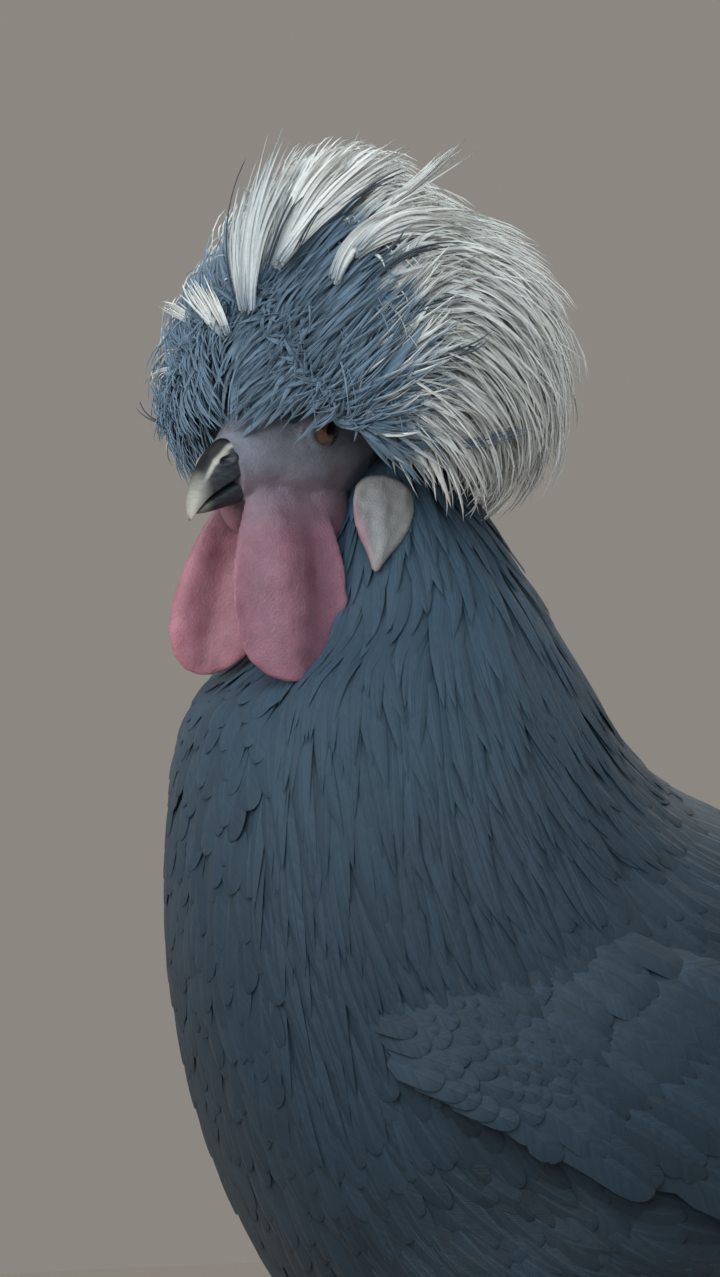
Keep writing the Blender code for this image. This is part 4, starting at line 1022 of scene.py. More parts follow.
class POLISH_OT_tail(bpy.types.Operator):
    """The main tail feathers in two upright halves, and the curved ones that hang over them"""
    bl_idname = "polish.tail"
    bl_label = "Tail"

    def execute(self, context):
        settings = context.scene.polish_plumage
        rng = np.random.default_rng(SEED + 2)
        finish = plume_material("tail_plumage", tuple(settings.dark), tuple(settings.white),
                                rough=0.42, sheen=0.08, barbs=1.3)
        self.feathers(rng, finish)
        self.coverts(rng, finish)
        return {"FINISHED"}

    def feathers(self, rng, finish):
        """The upright fan and the curved feathers of both sides, in one piece"""
        count, high, low, longest, shortest, half = TAIL_FAN
        runs, normals, widths = [], [], []
        t = shares(40, 1.2)
        for side, _ in SIDES:
            share = np.linspace(0, 1, count)
            lift = np.radians(high + (low - high) * share)
            out = unit(np.stack((side * (0.03 + 0.2 * share), np.cos(lift), np.sin(lift)), -1))
            start = np.stack((side * (2.5 + 8 * share), np.full(count, TAIL_ROOT[0] - 8.0),
                              TAIL_ROOT[1] - 4 * share), -1)
            length = (longest + (shortest - longest) * share)[:, None]
            end = start + out * length + np.array((0, 2, -4))
            across = np.stack((np.full(count, side * -0.3), -np.sin(lift), np.cos(lift)), -1)
            facing = unit(np.cross(across, out))
            facing *= np.sign(facing[:, :1]) * side
            runs.append(bend_run(start, start + out * length * 0.5 + np.array((0, -3, 6)), end, t))
            normals.append(np.repeat(facing[:, None], len(t), axis=1))
            widths.append(np.tile(half * outline(t, VANE, 0.25, 2), (count, 1)))
            rows = curve_row(SICKLES, np.linspace(0, len(SICKLES) - 1, 15))
            rows[1:, 2] += rng.normal(0, 2.2, len(rows) - 1)
            rows[1:, 4] *= rng.uniform(0.93, 1.04, len(rows) - 1)
            rows[:, 6] += rng.normal(0, 0.8, len(rows))
            run, facing = sickle_runs(rows, side, t)
            runs.append(run)
            normals.append(facing)
            widths.append(rows[:, 5:6] * 0.8 * (np.minimum(0.4 + 1.5 * t, 1) * (1 - t ** 4) ** 0.7)[None])
        run, normal, width = (np.concatenate(part) for part in (runs, normals, widths))
        n = len(run)
        width *= 1 - 0.25 * (rng.uniform(0, 1, width.shape) < 0.07) * (t > 0.2)
        width *= 1 + 0.02 * np.sin(40 * t[None] + rng.uniform(0, 6, n)[:, None])
        uv = (run[:, 0][:, (0, 2)] + (30, -220)) / (60, 90)
        tail = quills("tail_feathers", run, normal, width, 0.45, 0.2, rng.uniform(-0.4, 1.4, n),
                      np.zeros(n), uv)
        finish_piece(tail, finish, "dark_feather", "tail")

    def coverts(self, rng, finish):
        """Shorter feathers that hang over the tail's root"""
        n = 90
        side = np.where(np.arange(n) % 2, 1, -1)
        place, angle = rng.uniform(0.5, 2.4, n), rng.uniform(0.15, 1.5, n) * side
        root = body_surface(place, angle)
        rise = np.radians(rng.uniform(8, 58, n) - 20 * np.abs(angle))
        length = rng.uniform(42, 74, n)
        way = np.stack((side * (0.16 + 0.1 * np.abs(angle)), np.cos(rise), np.sin(rise)), -1)
        bend = root + way * (length * 0.55)[:, None]
        end = bend + np.stack((side * length * 0.08, length * 0.42,
                               -length * rng.uniform(0.1, 0.36, n)), -1)
        t = shares(12, 1.3)
        run = bend_run(root - way * 4, bend, end, t)
        facing = unit(np.stack((side * 1.0, np.full(n, -0.1), np.full(n, 0.35)), -1))
        piece = quills("tail_coverts", run, np.repeat(facing[:, None], len(t), axis=1),
                       rng.uniform(3.2, 4.8, n)[:, None] * outline(t, LANCE)[None], 0.3, 0.25,
                       rng.uniform(0, 1, n), np.zeros(n), round_map(place / 15, angle))
        finish_piece(piece, finish, "dark_feather")


def crest_way(azimuth, height):
    """Unit ways from azimuths and heights."""
    flat = np.cos(height)
    return np.stack((np.cos(azimuth) * flat, np.sin(azimuth) * flat, np.sin(height)), -1)


def crest_tip(azimuth, height, reach):
    """Where a crest feather that reaches out this way ends. Above the right front they end sooner."""
    tilt = np.degrees(height)
    behind = np.clip((np.degrees(np.abs(signed(azimuth))) - 65) / 45, 0, 1)
    right_front = np.maximum(np.maximum(np.cos(azimuth + 0.9), 0), tilt / 90 - 0.2)
    dent = 1 - np.interp(tilt, *CREST_DENT) * right_front
    reach = reach * (behind * np.interp(tilt, *CREST_SAG) + (1 - behind) * dent)
    ahead = np.where(np.cos(azimuth) > 0, CREST_REACH["forward"], CREST_REACH["back"])
    up = np.where(height > 0, CREST_REACH["up"], CREST_REACH["down"]) * np.sin(height)
    spot = np.stack((ahead * np.cos(azimuth) * np.cos(height) - CREST_LEAN * np.maximum(up, 0),
                     CREST_REACH["side"] * np.sin(azimuth) * np.cos(height), up), -1)
    return CREST_AT + reach[:, None] * spot


def seen_at(px, py, depth):
    """The place in the bird's axes that shows at a pixel of the photo, at a depth towards the camera."""
    turn, dip = math.radians(VIEW_AZIMUTH), math.radians(VIEW_HEIGHT)
    near = 1 - depth / PHOTO_DISTANCE
    along = VIEW_ALONG + ((px - PHOTO_MIDDLE[0]) / PHOTO_SCALE - VIEW_ALONG) * near
    up = VIEW_UP + ((PHOTO_MIDDLE[1] - py) / PHOTO_SCALE - VIEW_UP) * near + depth * math.sin(dip)
    return np.array((along * math.cos(turn) + depth * math.sin(turn),
                     along * math.sin(turn) - depth * math.cos(turn), up))


class POLISH_OT_crest(bpy.types.Operator):
    """The crest: narrow feathers that leave the crown and bend over, dark in front and white behind"""
    bl_idname = "polish.crest"
    bl_label = "Crest"

    def execute(self, context):
        settings = context.scene.polish_plumage
        rng = np.random.default_rng(SEED + 3)
        finish = plume_material("crest_plumage", tuple(settings.crest_dark), tuple(settings.white),
                                rough=0.5, sheen=0.15)
        n = settings.crest_count
        self.grow(rng, n, finish, False)
        self.grow(rng, n // 6, finish, True)
        self.cover(rng, n * 5 // 4, finish)
        self.cover(np.random.default_rng(SEED + 9), n * 7 // 5, finish, True)
        self.locks(rng, finish)
        shape = bmesh.new()
        ball(shape, by_head(CREST_CORE_AT), LEVEL, CREST_CORE * 0.9, 40, 28)
        core = melt("crest_core", shape, cell=1.2, smooth=2)
        finish_piece(core, bpy.data.materials["skin_under_plumage"], "dark_crest")
        return {"FINISHED"}

    def grow(self, rng, n, finish, thin):
        """Feathers that rise from the crown and bend over, or thin loose ones round them"""
        azimuth = rng.uniform(-math.pi, math.pi, 2 * n)
        height = np.arcsin(rng.uniform(-0.86, 1.0, 2 * n))
        keep = height > np.interp(azimuth, *CREST_LOW) + rng.normal(0, 0.08, 2 * n)
        azimuth, height = azimuth[keep][:n], height[keep][:n]
        n = len(azimuth)
        reach = np.where(rng.uniform(0, 1, n) < 0.25, rng.uniform(0.6, 0.8, n), rng.uniform(0.8, 0.95, n))
        if thin:
            reach = rng.uniform(0.98, 1.07, n)
        way = crest_way(azimuth, 0.62 * height + math.radians(24))
        root = CREST_CORE_AT + 0.72 * CREST_CORE * way
        tip = crest_tip(azimuth, height, reach) + rng.normal(0, 1.2, (n, 3))
        span = np.linalg.norm(tip - root, axis=1)[:, None]
        fall = np.stack((np.cos(azimuth) * np.sin(height), np.sin(azimuth) * np.sin(height),
                         -np.cos(height)), -1)
        front = (np.abs(azimuth) < 1.15) & (height < 0.7)
        share = np.where(front, 0.8, 0.42)[:, None]
        arrive = tip - unit(unit(tip - CREST_AT) * (1 - share) + fall * share) * span * 0.42
        t = shares(9 if thin else 11, 1.15)
        level = arch_run(root, root + way * span * 0.42 + rng.normal(0, 1.2, (n, 3)), arrive, tip, t)
        run = by_head(level)
        seen = (level[:, int(0.7 * len(t))] - CREST_AT) / CREST_REACH["side"]
        ahead = np.where(seen[:, 0] > 0, CREST_REACH["forward"], CREST_REACH["back"])
        seen[:, 0] /= ahead / CREST_REACH["side"]
        turn, rise = angles_of(unit(seen))
        turn = np.abs(turn) + rng.normal(0, 0.05, n)
        rise = rise + rng.normal(0, 0.05, n)
        dark = rise < np.interp(turn, *CREST_DARK)
        # Painted shade: a share of the white feathers at the front are grey.
        grey = (turn < 1.45) & (rng.uniform(0, 1, n) < 0.3)
        pale = np.where(dark, rng.uniform(0, 0.05, n),
                        np.where(grey, rng.uniform(0.35, 0.7, n), rng.uniform(0.88, 1, n)))
        pale = pale[:, None] * (0.75 + 0.25 * np.minimum(1, 1.6 * t))[None]
        normal = unit(run - by_head(CREST_BELOW) + rng.normal(0, 5, (n, 1, 3)))
        half = rng.uniform(0.28, 0.5, n) if thin else rng.uniform(0.75, 1.5, n)
        shade = rng.uniform(0, 1, n)
        width = half[:, None] * outline(t, LANCE)[None]
        uv = crest_map(azimuth, height)
        if thin:
            piece = quills("crest_wisps", run, normal, width, 0.15, 0.2, shade, pale, uv)
            finish_piece(piece, finish, "white_feather")
            return
        for name, these, slot, node in (("crest_front_feathers", dark, "dark_crest", "crest_front"),
                                        ("crest_white_feathers", ~dark, "white_feather", "crest_crown")):
            piece = quills(name, run[these], normal[these], width[these], 0.18, 0.35, shade[these],
                           pale[these], uv[these])
            finish_piece(piece, finish, slot, node)

    def cover(self, rng, n, finish, fine=False):
        """Feathers that lie on the crest: down the dark front, and away from it on the white"""
        azimuth = rng.uniform(-math.pi, math.pi, 6 * n)
        height = np.arcsin(rng.uniform(-0.85, 1, 6 * n))
        turn = np.abs(azimuth)
        mixed = rng.normal(0, 1, 6 * n) * np.where(height < 0.3, 0.16, 0.04)
        dark = height < np.interp(turn + mixed, *CREST_DARK)
        keep = height > np.interp(azimuth, *CREST_LOW) + rng.normal(0, 0.03 if fine else 0.09, 6 * n)
        keep = keep & (dark | (rng.uniform(0, 1, 6 * n) < (0.8 if fine else 0.5)))
        azimuth, height, turn, dark, mixed = (v[keep][:n] for v in (azimuth, height, turn, dark, mixed))
        n = len(azimuth)
        end = crest_way(azimuth, height)
        side = np.where(azimuth > 0, 1.0, -1.0)
        back = np.clip((turn - 1.3) / 0.9, 0, 1)[:, None]
        high, low = (crest_way(side * math.radians(a), np.full(n, math.radians(b)))
                     for a, b in CREST_PARTING)
        share = np.sum((end - high) * (low - high), 1) / np.sum((low - high) ** 2, 1)
        calm = np.where(dark, 0.35, 1.0)
        source = high + (low - high) * np.clip(share + calm * rng.normal(0, 0.12, n), 0, 1)[:, None]
        source = unit(source * (1 - back) + np.array((0.1, 0, 1)) * back
                      + calm[:, None] * rng.normal(0, 0.04, (n, 3)))
        away = unit(source - end * np.sum(source * end, 1, keepdims=True))
        reach = rng.uniform(0.93, 1.04, n) if fine else rng.uniform(0.88, 1.01, n)

        def passed(arc):
            """Ways at an arc from the tips, back towards the parting"""
            return unit(end[:, None] * np.cos(arc)[..., None] + away[:, None] * np.sin(arc)[..., None])

        def placed(arc, far):
            return crest_tip(*angles_of(passed(arc[:, None])[:, 0]), reach * far)

        far = np.arccos(np.clip(np.sum(source * end, 1), -1, 1))
        arc = np.minimum(np.where(dark, 1.15, 1) * rng.uniform(0.5, 0.72, n), 0.16 + 0.8 * far)
        t = shares(7 if fine else 8, 1.15)
        stray = np.where(dark, 0.3, 1.2)[:, None] * rng.normal(0, 1, (n, 3))
        run = by_head(bend_run(placed(arc, 0.66), placed(arc * 0.62, 1.04) + stray,
                               crest_tip(azimuth, height, reach) + 1.3 * stray, t))
        normal = unit(run - by_head(CREST_BELOW) + (4 * calm)[:, None, None] * rng.normal(0, 1, (n, 1, 3)))
        half = rng.uniform(0.6, 1.1, n) * np.where(dark, 1.35, 1) * np.clip(0.4 + far, 0.6, 1)
        width = (0.42 if fine else 1) * half[:, None] * outline(t, LANCE)[None]
        shade = np.where(dark, rng.uniform(0.2, 0.7, n), rng.uniform(0, 1, n))
        # Painted shade: some white feathers low at the front are grey.
        grey = (turn < 1.55) & (height < 0.35) & (rng.uniform(0, 1, n) < 0.45)
        pale = np.where(dark, rng.uniform(0, 0.05, n),
                        np.where(grey, rng.uniform(0.2, 0.7, n), rng.uniform(0.8, 1, n)))
        over, rise = angles_of(passed(arc[:, None] * (1 - t) * (1 + 0.24 * t)))
        above = rise - np.interp(np.abs(over) + mixed[:, None], *CREST_DARK)
        pale = pale[:, None] * np.clip(0.05 + above / 0.2, 0.05, 1)
        uv = crest_map(azimuth, height)
        kind = "fringe" if fine else "cover"
        for name, these, slot in (("crest_front_", dark, "dark_crest"),
                                  ("crest_white_", ~dark, "white_feather")):
            piece = quills(name + kind, run[these], normal[these], width[these], 0.18, 0.35, shade[these],
                           pale[these], uv[these])
            finish_piece(piece, finish, slot)

    def locks(self, rng, finish):
        """The locks that stand out from the rest"""
        starts, bends, ends, halves, tones = [], [], [], [], []
        for first, middle, last, near, far, half, fan, tone, count in LOCKS:
            a, c = seen_at(*first, near), seen_at(*last, far)
            b = seen_at(*middle, near * 0.6 + far * 0.4 + 4)
            across = unit(np.cross(c - a, seen_at(*last, far + 50) - c))
            count *= 3 if tone > 0 else 1
            for i in range(count):
                off = (i - (count - 1) / 2) / max(count - 1, 1) * 2 * fan
                jitter = rng.normal(0, 0.4, (3, 3)) * (1, 1.2, 2.2)
                starts.append(a + across * off * 0.5 + jitter[:, 0])
                bends.append(b + across * (off * 0.9 + rng.normal(0, 0.5)) + jitter[:, 1])
                ends.append(a + (c - a) * rng.uniform(0.72, 1.03) + across * off * 1.4 + jitter[:, 2])
                halves.append(half * rng.uniform(0.35, 0.75))
                tones.append(tone)
        starts, bends, ends, halves, tones = map(np.array, (starts, bends, ends, halves, tones))
        heart = by_head(CREST_CORE_AT)
        t = shares(13, 1.15)
        run = bend_run(heart + (starts - heart) * 0.9, bends, ends, t)
        n = len(run)
        facing = unit(unit(run - by_head(CREST_AT)) + rng.normal(0, 0.2, (n, 1, 3)))
        pale = np.clip(tones, 0, 1)[:, None] * np.clip(0.35 + 3 * t, 0, 1)[None]
        # Painted shade: the near-black strands mark the dark shade lines between white locks.
        shade = np.where(tones < 0, -2.6, rng.uniform(-0.7, 0.5, n))
        uv = crest_map(*angles_of(unit((run[:, -1] - HEAD_AT) @ LEVEL.T - CREST_AT)))
        piece = quills("crest_locks", run, facing, halves[:, None] * outline(t, LANCE)[None], 0.18, 0.3,
                       shade, pale, uv)
        finish_piece(piece, finish, "white_feather")


def earlobe_frame(side):
    """Where an earlobe lies on the neck's side: its middle, and unit ways down, across and out."""
    out = LEVEL[1] * side
    start = by_head((EARLOBE_AT[0], side * 60, EARLOBE_AT[1]))
    place, angle = np.meshgrid(np.linspace(11, 15, 160), np.linspace(0, math.pi, 160) * side)
    grid = body_surface(place, angle)
    away = grid - start
    off = np.linalg.norm(away - (away @ -out)[..., None] * -out, axis=-1)
    off += np.where(away @ -out > 0, 0, 1e6) + 0.02 * (away @ -out)
    i = np.unravel_index(np.argmin(off), off.shape)
    spot = grid[i]
    normal = outward(body_surface, place[i], angle[i], body_inside(place[i]))
    normal = unit(normal + out)
    down = np.array((0, 0, -1.0))
    down = unit(down - normal * (normal @ down) + 0.25 * LEVEL[0])
    return spot, down, unit(np.cross(down, normal)), normal


class POLISH_OT_face(bpy.types.Operator):
    """The bare face with its lids, the folded wattles and the white earlobes, in one skin"""
    bl_idname = "polish.face"
    bl_label = "Face"

    def execute(self, context):
        settings = context.scene.polish_face
        shape = bmesh.new()
        loft(shape, [ring_of(head_surface, place, 44) for place in np.linspace(0.02, 8, 44)])
        for side, _ in SIDES:
            self.lids(shape, side)
            self.wattle(shape, side, settings.fold / MM)
            ball(shape, by_head((9, side * 5, -17)), LEVEL, np.array((7, 4, 8)))
            ball(shape, by_head((-5, side * 9, -19)), LEVEL, np.array((8, 3.6, 9)))
            self.earlobe(shape, side)
        skin = melt("face_skin", shape, cell=0.55, smooth=4)
        self.mark_regions(skin.data)
        finish_piece(skin, self.finish(settings), "red_skin", "head", "wattle_left", "wattle_right",
                     "earlobe_left", "earlobe_right")
        self.cheek_feathers()
        return {"FINISHED"}

    def lids(self, shape, side):
        """Adds the lid and a fold of skin round one eye to the shape"""
        for wide, tall, out, thick in ((5.0, 4.2, 14.9, 1.15), (6.9, 6.0, 13.9, 0.9)):
            hoop = []
            for way in circle(40):
                lens = abs(math.sin(way)) ** 1.15
                centre = np.array((wide * math.cos(way), side * (out - 0.02 * (wide * math.cos(way)) ** 2),
                                   tall * math.copysign(lens, math.sin(way))))
                radial = unit(np.array((math.cos(way), 0, math.sin(way))))
                hoop.append([on_head(centre + radial * thick * math.cos(q)
                                     + np.array((0, side, 0)) * thick * math.sin(q)) for q in circle(10)])
            loft(shape, hoop, True)

    def mark_regions(self, mesh):
        """Marks where the skin is white lobe, red wattle, and wattle on the far side, which is painted
        lighter as a painted glow of light shining through it
        """
        points = np.empty(len(mesh.vertices) * 3)
        mesh.vertices.foreach_get("co", points)
        points = points.reshape(-1, 3) / MM - SHIFT
        lobe = np.zeros(len(points))
        for side, _ in SIDES:
            spot, down, across, normal = earlobe_frame(side)
            away = points - spot
            inside = np.sqrt((away @ down / (EARLOBE_SIZE[1] + 0.6)) ** 2
                             + (away @ across / (EARLOBE_SIZE[0] + 1.6)) ** 2)
            rear = np.clip((away @ LEVEL[0] * -1 + 7.2) / 2.2, 0.3, 1)
            here = np.clip((1.05 - inside) * 8, 0, 1) * np.clip((away @ normal + 1) * 2, 0, 1) * rear
            lobe = np.maximum(lobe, here)
        level = (points - HEAD_AT) @ LEVEL.T
        wattle = np.clip((-level[:, 2] - 7) / 19, 0, 1) * np.clip((level[:, 0] + 13) / 5, 0, 1)
        mark(mesh, lobe=lobe, wattle=wattle, far=wattle * (level[:, 1] < 0))

    def wattle(self, shape, side, depth):
        """Adds one long folded wattle to the shape"""
        ahead, out, swing, spread, top, bottom, half, turn = WATTLES[side]
        turn = math.radians(turn) * side
        across = np.array((math.cos(turn), -math.sin(turn), 0))
        facing = np.array((math.sin(turn), math.cos(turn), 0)) * side
        sideways = np.cos(np.linspace(0, math.pi, 21))
        sideways = np.concatenate((sideways, sideways[-2:0:-1]))
        face = np.concatenate((np.ones(21), -np.ones(19)))
        rings = []
        for down in 1 - (1 - np.linspace(0, 1, 34)) ** 1.5:
            width = float(np.interp(down, WATTLE_OUTLINE[:, 0], WATTLE_OUTLINE[:, 1]))
            thick = 2.0 * (1.25 - 0.45 * down) * (0.75 + 0.25 * min(1, width / 0.7))
            middle = np.array((ahead + swing * down, side * (out + spread * down),
                               top + (bottom - top) * down))
            middle += np.array((-1.5, -side * out * 0.5, 0)) * (1 - down) ** 4
            fold = depth * np.sin(4.4 * sideways * width + 0.5 + 1.2 * down) * math.sin(2.5 * down + 0.2)
            lumps = (np.sin(9 * sideways * width + 3 * np.sin(5 * down + side))
                     * np.sin(13 * down + 4 * sideways))
            edge = face * (thick * np.sqrt(np.maximum(0, 1 - sideways ** 2))
                           + 0.22 * lumps * (1 - sideways ** 2))
            rings.append(by_head(middle + across * (half * width * sideways)[:, None]
                                 + facing * (edge + fold)[:, None]))
        loft(shape, rings)

    def earlobe(self, shape, side):
        """Adds one flat creased earlobe to the shape"""
        spot, down, across, normal = earlobe_frame(side)
        rings = []
        turn = circle(28)
        wide = np.cos(turn)
        for place in np.linspace(-0.98, 0.98, 26):
            here = float(np.interp(place, *EARLOBE_OUTLINE))
            thick = EARLOBE_SIZE[2] * min(1, 1.6 * here) ** 0.5
            crease = (0.34 * np.sin(6.5 * wide + 2.2 * place + 1.1) + 0.2 * np.sin(13 * wide - 5 * place)
                      + 0.14 * np.sin(place * 19 + 4 * wide)
                      - 0.7 * np.exp(-((wide * side - 0.35 + 0.3 * place) / 0.16) ** 2))
            rings.append(spot + down * EARLOBE_SIZE[1] * place
                         + across * (EARLOBE_SIZE[0] * here * wide)[:, None]
                         + normal * (1.9 + thick * np.sin(turn) + crease * here)[:, None])
        loft(shape, rings)

    def finish(self, settings):
        """Bare skin: a face painted slate-grey as painted shade under the crest, red wattles with the far
        one painted lighter as a painted glow, and white lobes, each mottled
        """
        made, tree, shader = material("bare_skin", {
            "Subsurface Weight": 0.6, "Subsurface Scale": 1.0, "Subsurface Radius": (0.005, 0.002, 0.0018),
            "Specular IOR Level": 0.4})
        blotch = texture(tree, "Noise", Scale=130.0, Detail=5.0, Roughness=0.6)
        grain = texture(tree, "Voronoi", Scale=1900.0)
        vein = texture(tree, "Noise", Scale=420.0, Detail=3.0, Distortion=1.2)
        spread = ramp(tree, blotch, ((0.32, (0, 0, 0)), (0.68, (1, 1, 1))))
        # Painted shade: the face skin is slate-grey, the crest's shade over red skin.
        colour = mix_colour(tree, attribute(tree, "wattle"), mottled(tree, spread, settings.face, 0.7, 1.3),
                            mottled(tree, spread, settings.red, 0.78, 1.2))
        colour = mix_colour(tree, attribute(tree, "lobe"), colour,
                            mottled(tree, spread, settings.lobe, 0.88, 1.1))
        # Painted light: the far wattle is painted lighter, a glow of light shining through it.
        far_painted_glow = mix_colour(tree, 1.0, colour, (1.35, 1.28, 1.2), "MULTIPLY")
        tree.links.new(mix_colour(tree, attribute(tree, "far"), colour, far_painted_glow), shader.inputs["Base Color"])
        tree.links.new(math_node(tree, "MULTIPLY_ADD", vein, 0.2, 0.42), shader.inputs["Roughness"])
        height = math_node(tree, "ADD", grain, math_node(tree, "MULTIPLY", vein, 1.4))
        relief(tree, shader, height, strength=0.5, depth=0.0002)
        return made

    def cheek_feathers(self):
        """The small feathers of cheeks, throat and crown, round the bare face"""
        rng = np.random.default_rng(SEED + 4)

        def keep(place, angle):
            turn = np.abs(signed(angle))
            forward = curve_row(HEAD, place)[..., 0]
            return ((forward < -13) | (turn < 1.0) & (forward < 10) | (turn > 2.6) & (forward < 10)
                    | (forward < -9) & (turn < 1.5))

        a, b = scatter(head_surface, (0.4, 7.0), (0, FULL_TURN), keep, lambda a, b: 1.7 + 0 * a, rng,
                       tries=16000)
        n = len(a)
        t = shares(7, 1.2)
        run, normal = lie(head_surface, a, b, rng.uniform(6, 8.5, n), -1, rng.normal(0, 0.08, n),
                          (np.full(n, -0.6), rng.uniform(0.2, 0.9, n)), t, lambda a: on_head((-6, 0, -3)),
                          (0.02, 8))
        piece = quills("cheek_plumage", run, normal, np.tile(1.3 * outline(t, LANCE), (n, 1)), 0.15, 0.25,
                       rng.uniform(0, 1, n), np.zeros(n), round_map(a / 8, b))
        finish_piece(piece, bpy.data.materials["dark_plumage"], "dark_feather")


class POLISH_OT_eyes(bpy.types.Operator):
    """The eyes: a dark pupil in a red-brown iris under a clear bulge"""
    bl_idname = "polish.eyes"
    bl_label = "Eyes"

    def execute(self, context):
        # The iris colour is partly painted shade: darker than its own red-brown.
        iris = context.scene.polish_face.iris
        made, tree, shader = material("eye", {"Roughness": 0.08, "Coat Weight": 1.0,
                                              "Coat Roughness": 0.03})
        band = mottled(tree, texture(tree, "Noise", Scale=1500.0, Detail=3.0), iris, 0.55, 1.6)
        rim = ramp(tree, attribute(tree, "radius"),
                   ((0.0, (0, 0, 0)), (0.40, (0, 0, 0)), (0.46, (1, 1, 1)), (0.80, (1, 1, 1)),
                    (0.9, (0.12, 0.1, 0.1))))
        tree.links.new(mix_colour(tree, 1.0, band, rim, "MULTIPLY"), shader.inputs["Base Color"])
        for side, word in SIDES:
            shape = bmesh.new()
            bmesh.ops.create_uvsphere(shape, u_segments=48, v_segments=32, radius=1)
            radii = []
            for corner in shape.verts:
                x, y, z = corner.co
                bulge = 1 + 0.05 * max(0, z) ** 6
                radii.append(math.hypot(x, y) / 0.8 if z > 0 else 1.2)
                corner.co = Vector(on_head(np.array((x, side * z * bulge, y)) * (EYE_RADIUS - 0.15)
                                           + (0, side * EYE_OUT, 0)))
            mesh = mesh_from("eyeball_" + word, shape)
            mark(mesh, radius=radii)
            finish_piece(object_from("eyeball_" + word, mesh), made, "eye", "eye_" + word)
        return {"FINISHED"}


class POLISH_OT_bill(bpy.types.Operator):
    """The bill's two halves with ridge, nostrils and pale tip, and a painted highlight along the ridge"""
    bl_idname = "polish.bill"
    bl_label = "Bill"

    def execute(self, context):
        made = self.finish(context.scene.polish_face)
        for name, rows, belly, node in (("bill_top", UPPER_BILL, 0.2, "bill_upper"),
                                        ("bill_bottom", LOWER_BILL, 0.82, "bill_lower")):
            upper = rows is UPPER_BILL
            shape = bmesh.new()
            loft(shape, self.rings(rows, belly, upper))
            mesh = mesh_from(name, shape)
            level = np.array([(np.array(v.co) - HEAD_AT) @ TILTED.T for v in mesh.vertices])
            tip = np.clip((level[:, 0] - 30) / 5, 0, 1) * 0.9
            ridge = np.zeros(len(tip))
            if upper:
                below = np.interp(level[:, 0], rows[:, 0], rows[:, 1]) - level[:, 2]
                back = np.clip((33 - level[:, 0]) / 4, 0, 1)
                # Painted highlight: a pale streak just under the ridge, marked together with the pale tip.
                tip = np.maximum(tip, 0.95 * np.exp(-((below - 1.35) / 0.5) ** 4) * back)
                # Painted shade: the ridge itself is darker, beside the painted highlight.
                ridge = np.exp(-(below / 0.75) ** 4) * back
            mark(mesh, tip=np.clip(tip, 0, 1), ridge=ridge)
            finish_piece(object_from(name, mesh), made, "horn", node)
        return {"FINISHED"}

    def finish(self, settings):
        """Dark streaked horn, painted darker on its ridge as painted shade, with a painted highlight streak
        just under the ridge, and pale at its tip
        """
        made, tree, shader = material("horn", {"Roughness": 0.44, "Specular IOR Level": 0.35})
        stretch = add(tree, "ShaderNodeMapping", Scale=(1, 1, 3))
        tree.links.new(add(tree, "ShaderNodeTexCoord").outputs["Object"], stretch.inputs["Vector"])
        streak = add(tree, "ShaderNodeTexNoise", Scale=420.0, Detail=6.0, Roughness=0.65)
        tree.links.new(stretch.outputs[0], streak.inputs["Vector"])
        spread = ramp(tree, streak.outputs[0], ((0.3, (0, 0, 0)), (0.7, (1, 1, 1))))
        # Painted shade along the ridge. The tip's mix below also paints the highlight streak.
        base = mix_colour(tree, attribute(tree, "ridge"), mottled(tree, spread, settings.horn, 0.5, 1.8),
                          scaled(settings.horn, 0.15))
        pale = mottled(tree, spread, settings.horn_tip, 0.75, 1)
        tree.links.new(mix_colour(tree, attribute(tree, "tip"), base, pale), shader.inputs["Base Color"])
        relief(tree, shader, streak.outputs[0], strength=0.5, depth=0.0002)
        return made

    def rings(self, rows, belly, upper):
        """Rings along one half of the bill, with nostrils pressed into the upper one"""
        rings = []
        turn = circle(96)
        for place in np.linspace(0, len(rows) - 1, 60):
            forward, top, bottom, half = curve_row(rows, place)
            middle = bottom + (top - bottom) * belly
            height = np.where(np.cos(turn) > 0, top - middle, middle - bottom)
            ridge = np.abs(np.cos(turn)) ** (0.85 if upper else 1.0) * np.sign(np.cos(turn))
            ring = np.stack((np.full(len(turn), forward), half * np.sin(turn), middle + height * ridge), -1)
            for side in (1, -1) if upper else ():
                nostril = np.array((NOSTRIL_AT[0], side * NOSTRIL_AT[1], NOSTRIL_AT[2] - 0.4))
                away = np.linalg.norm((ring - nostril) / (2.1, 1.8, 1.0), axis=1)
                push = 0.6 * np.exp(-((away - 1.25) / 0.4) ** 2) - 1.3 * np.exp(-(away / 0.75) ** 4)
                ring[:, 1] += side * push * (np.sign(ring[:, 1]) == side)
            rings.append(on_head(ring))
        return rings


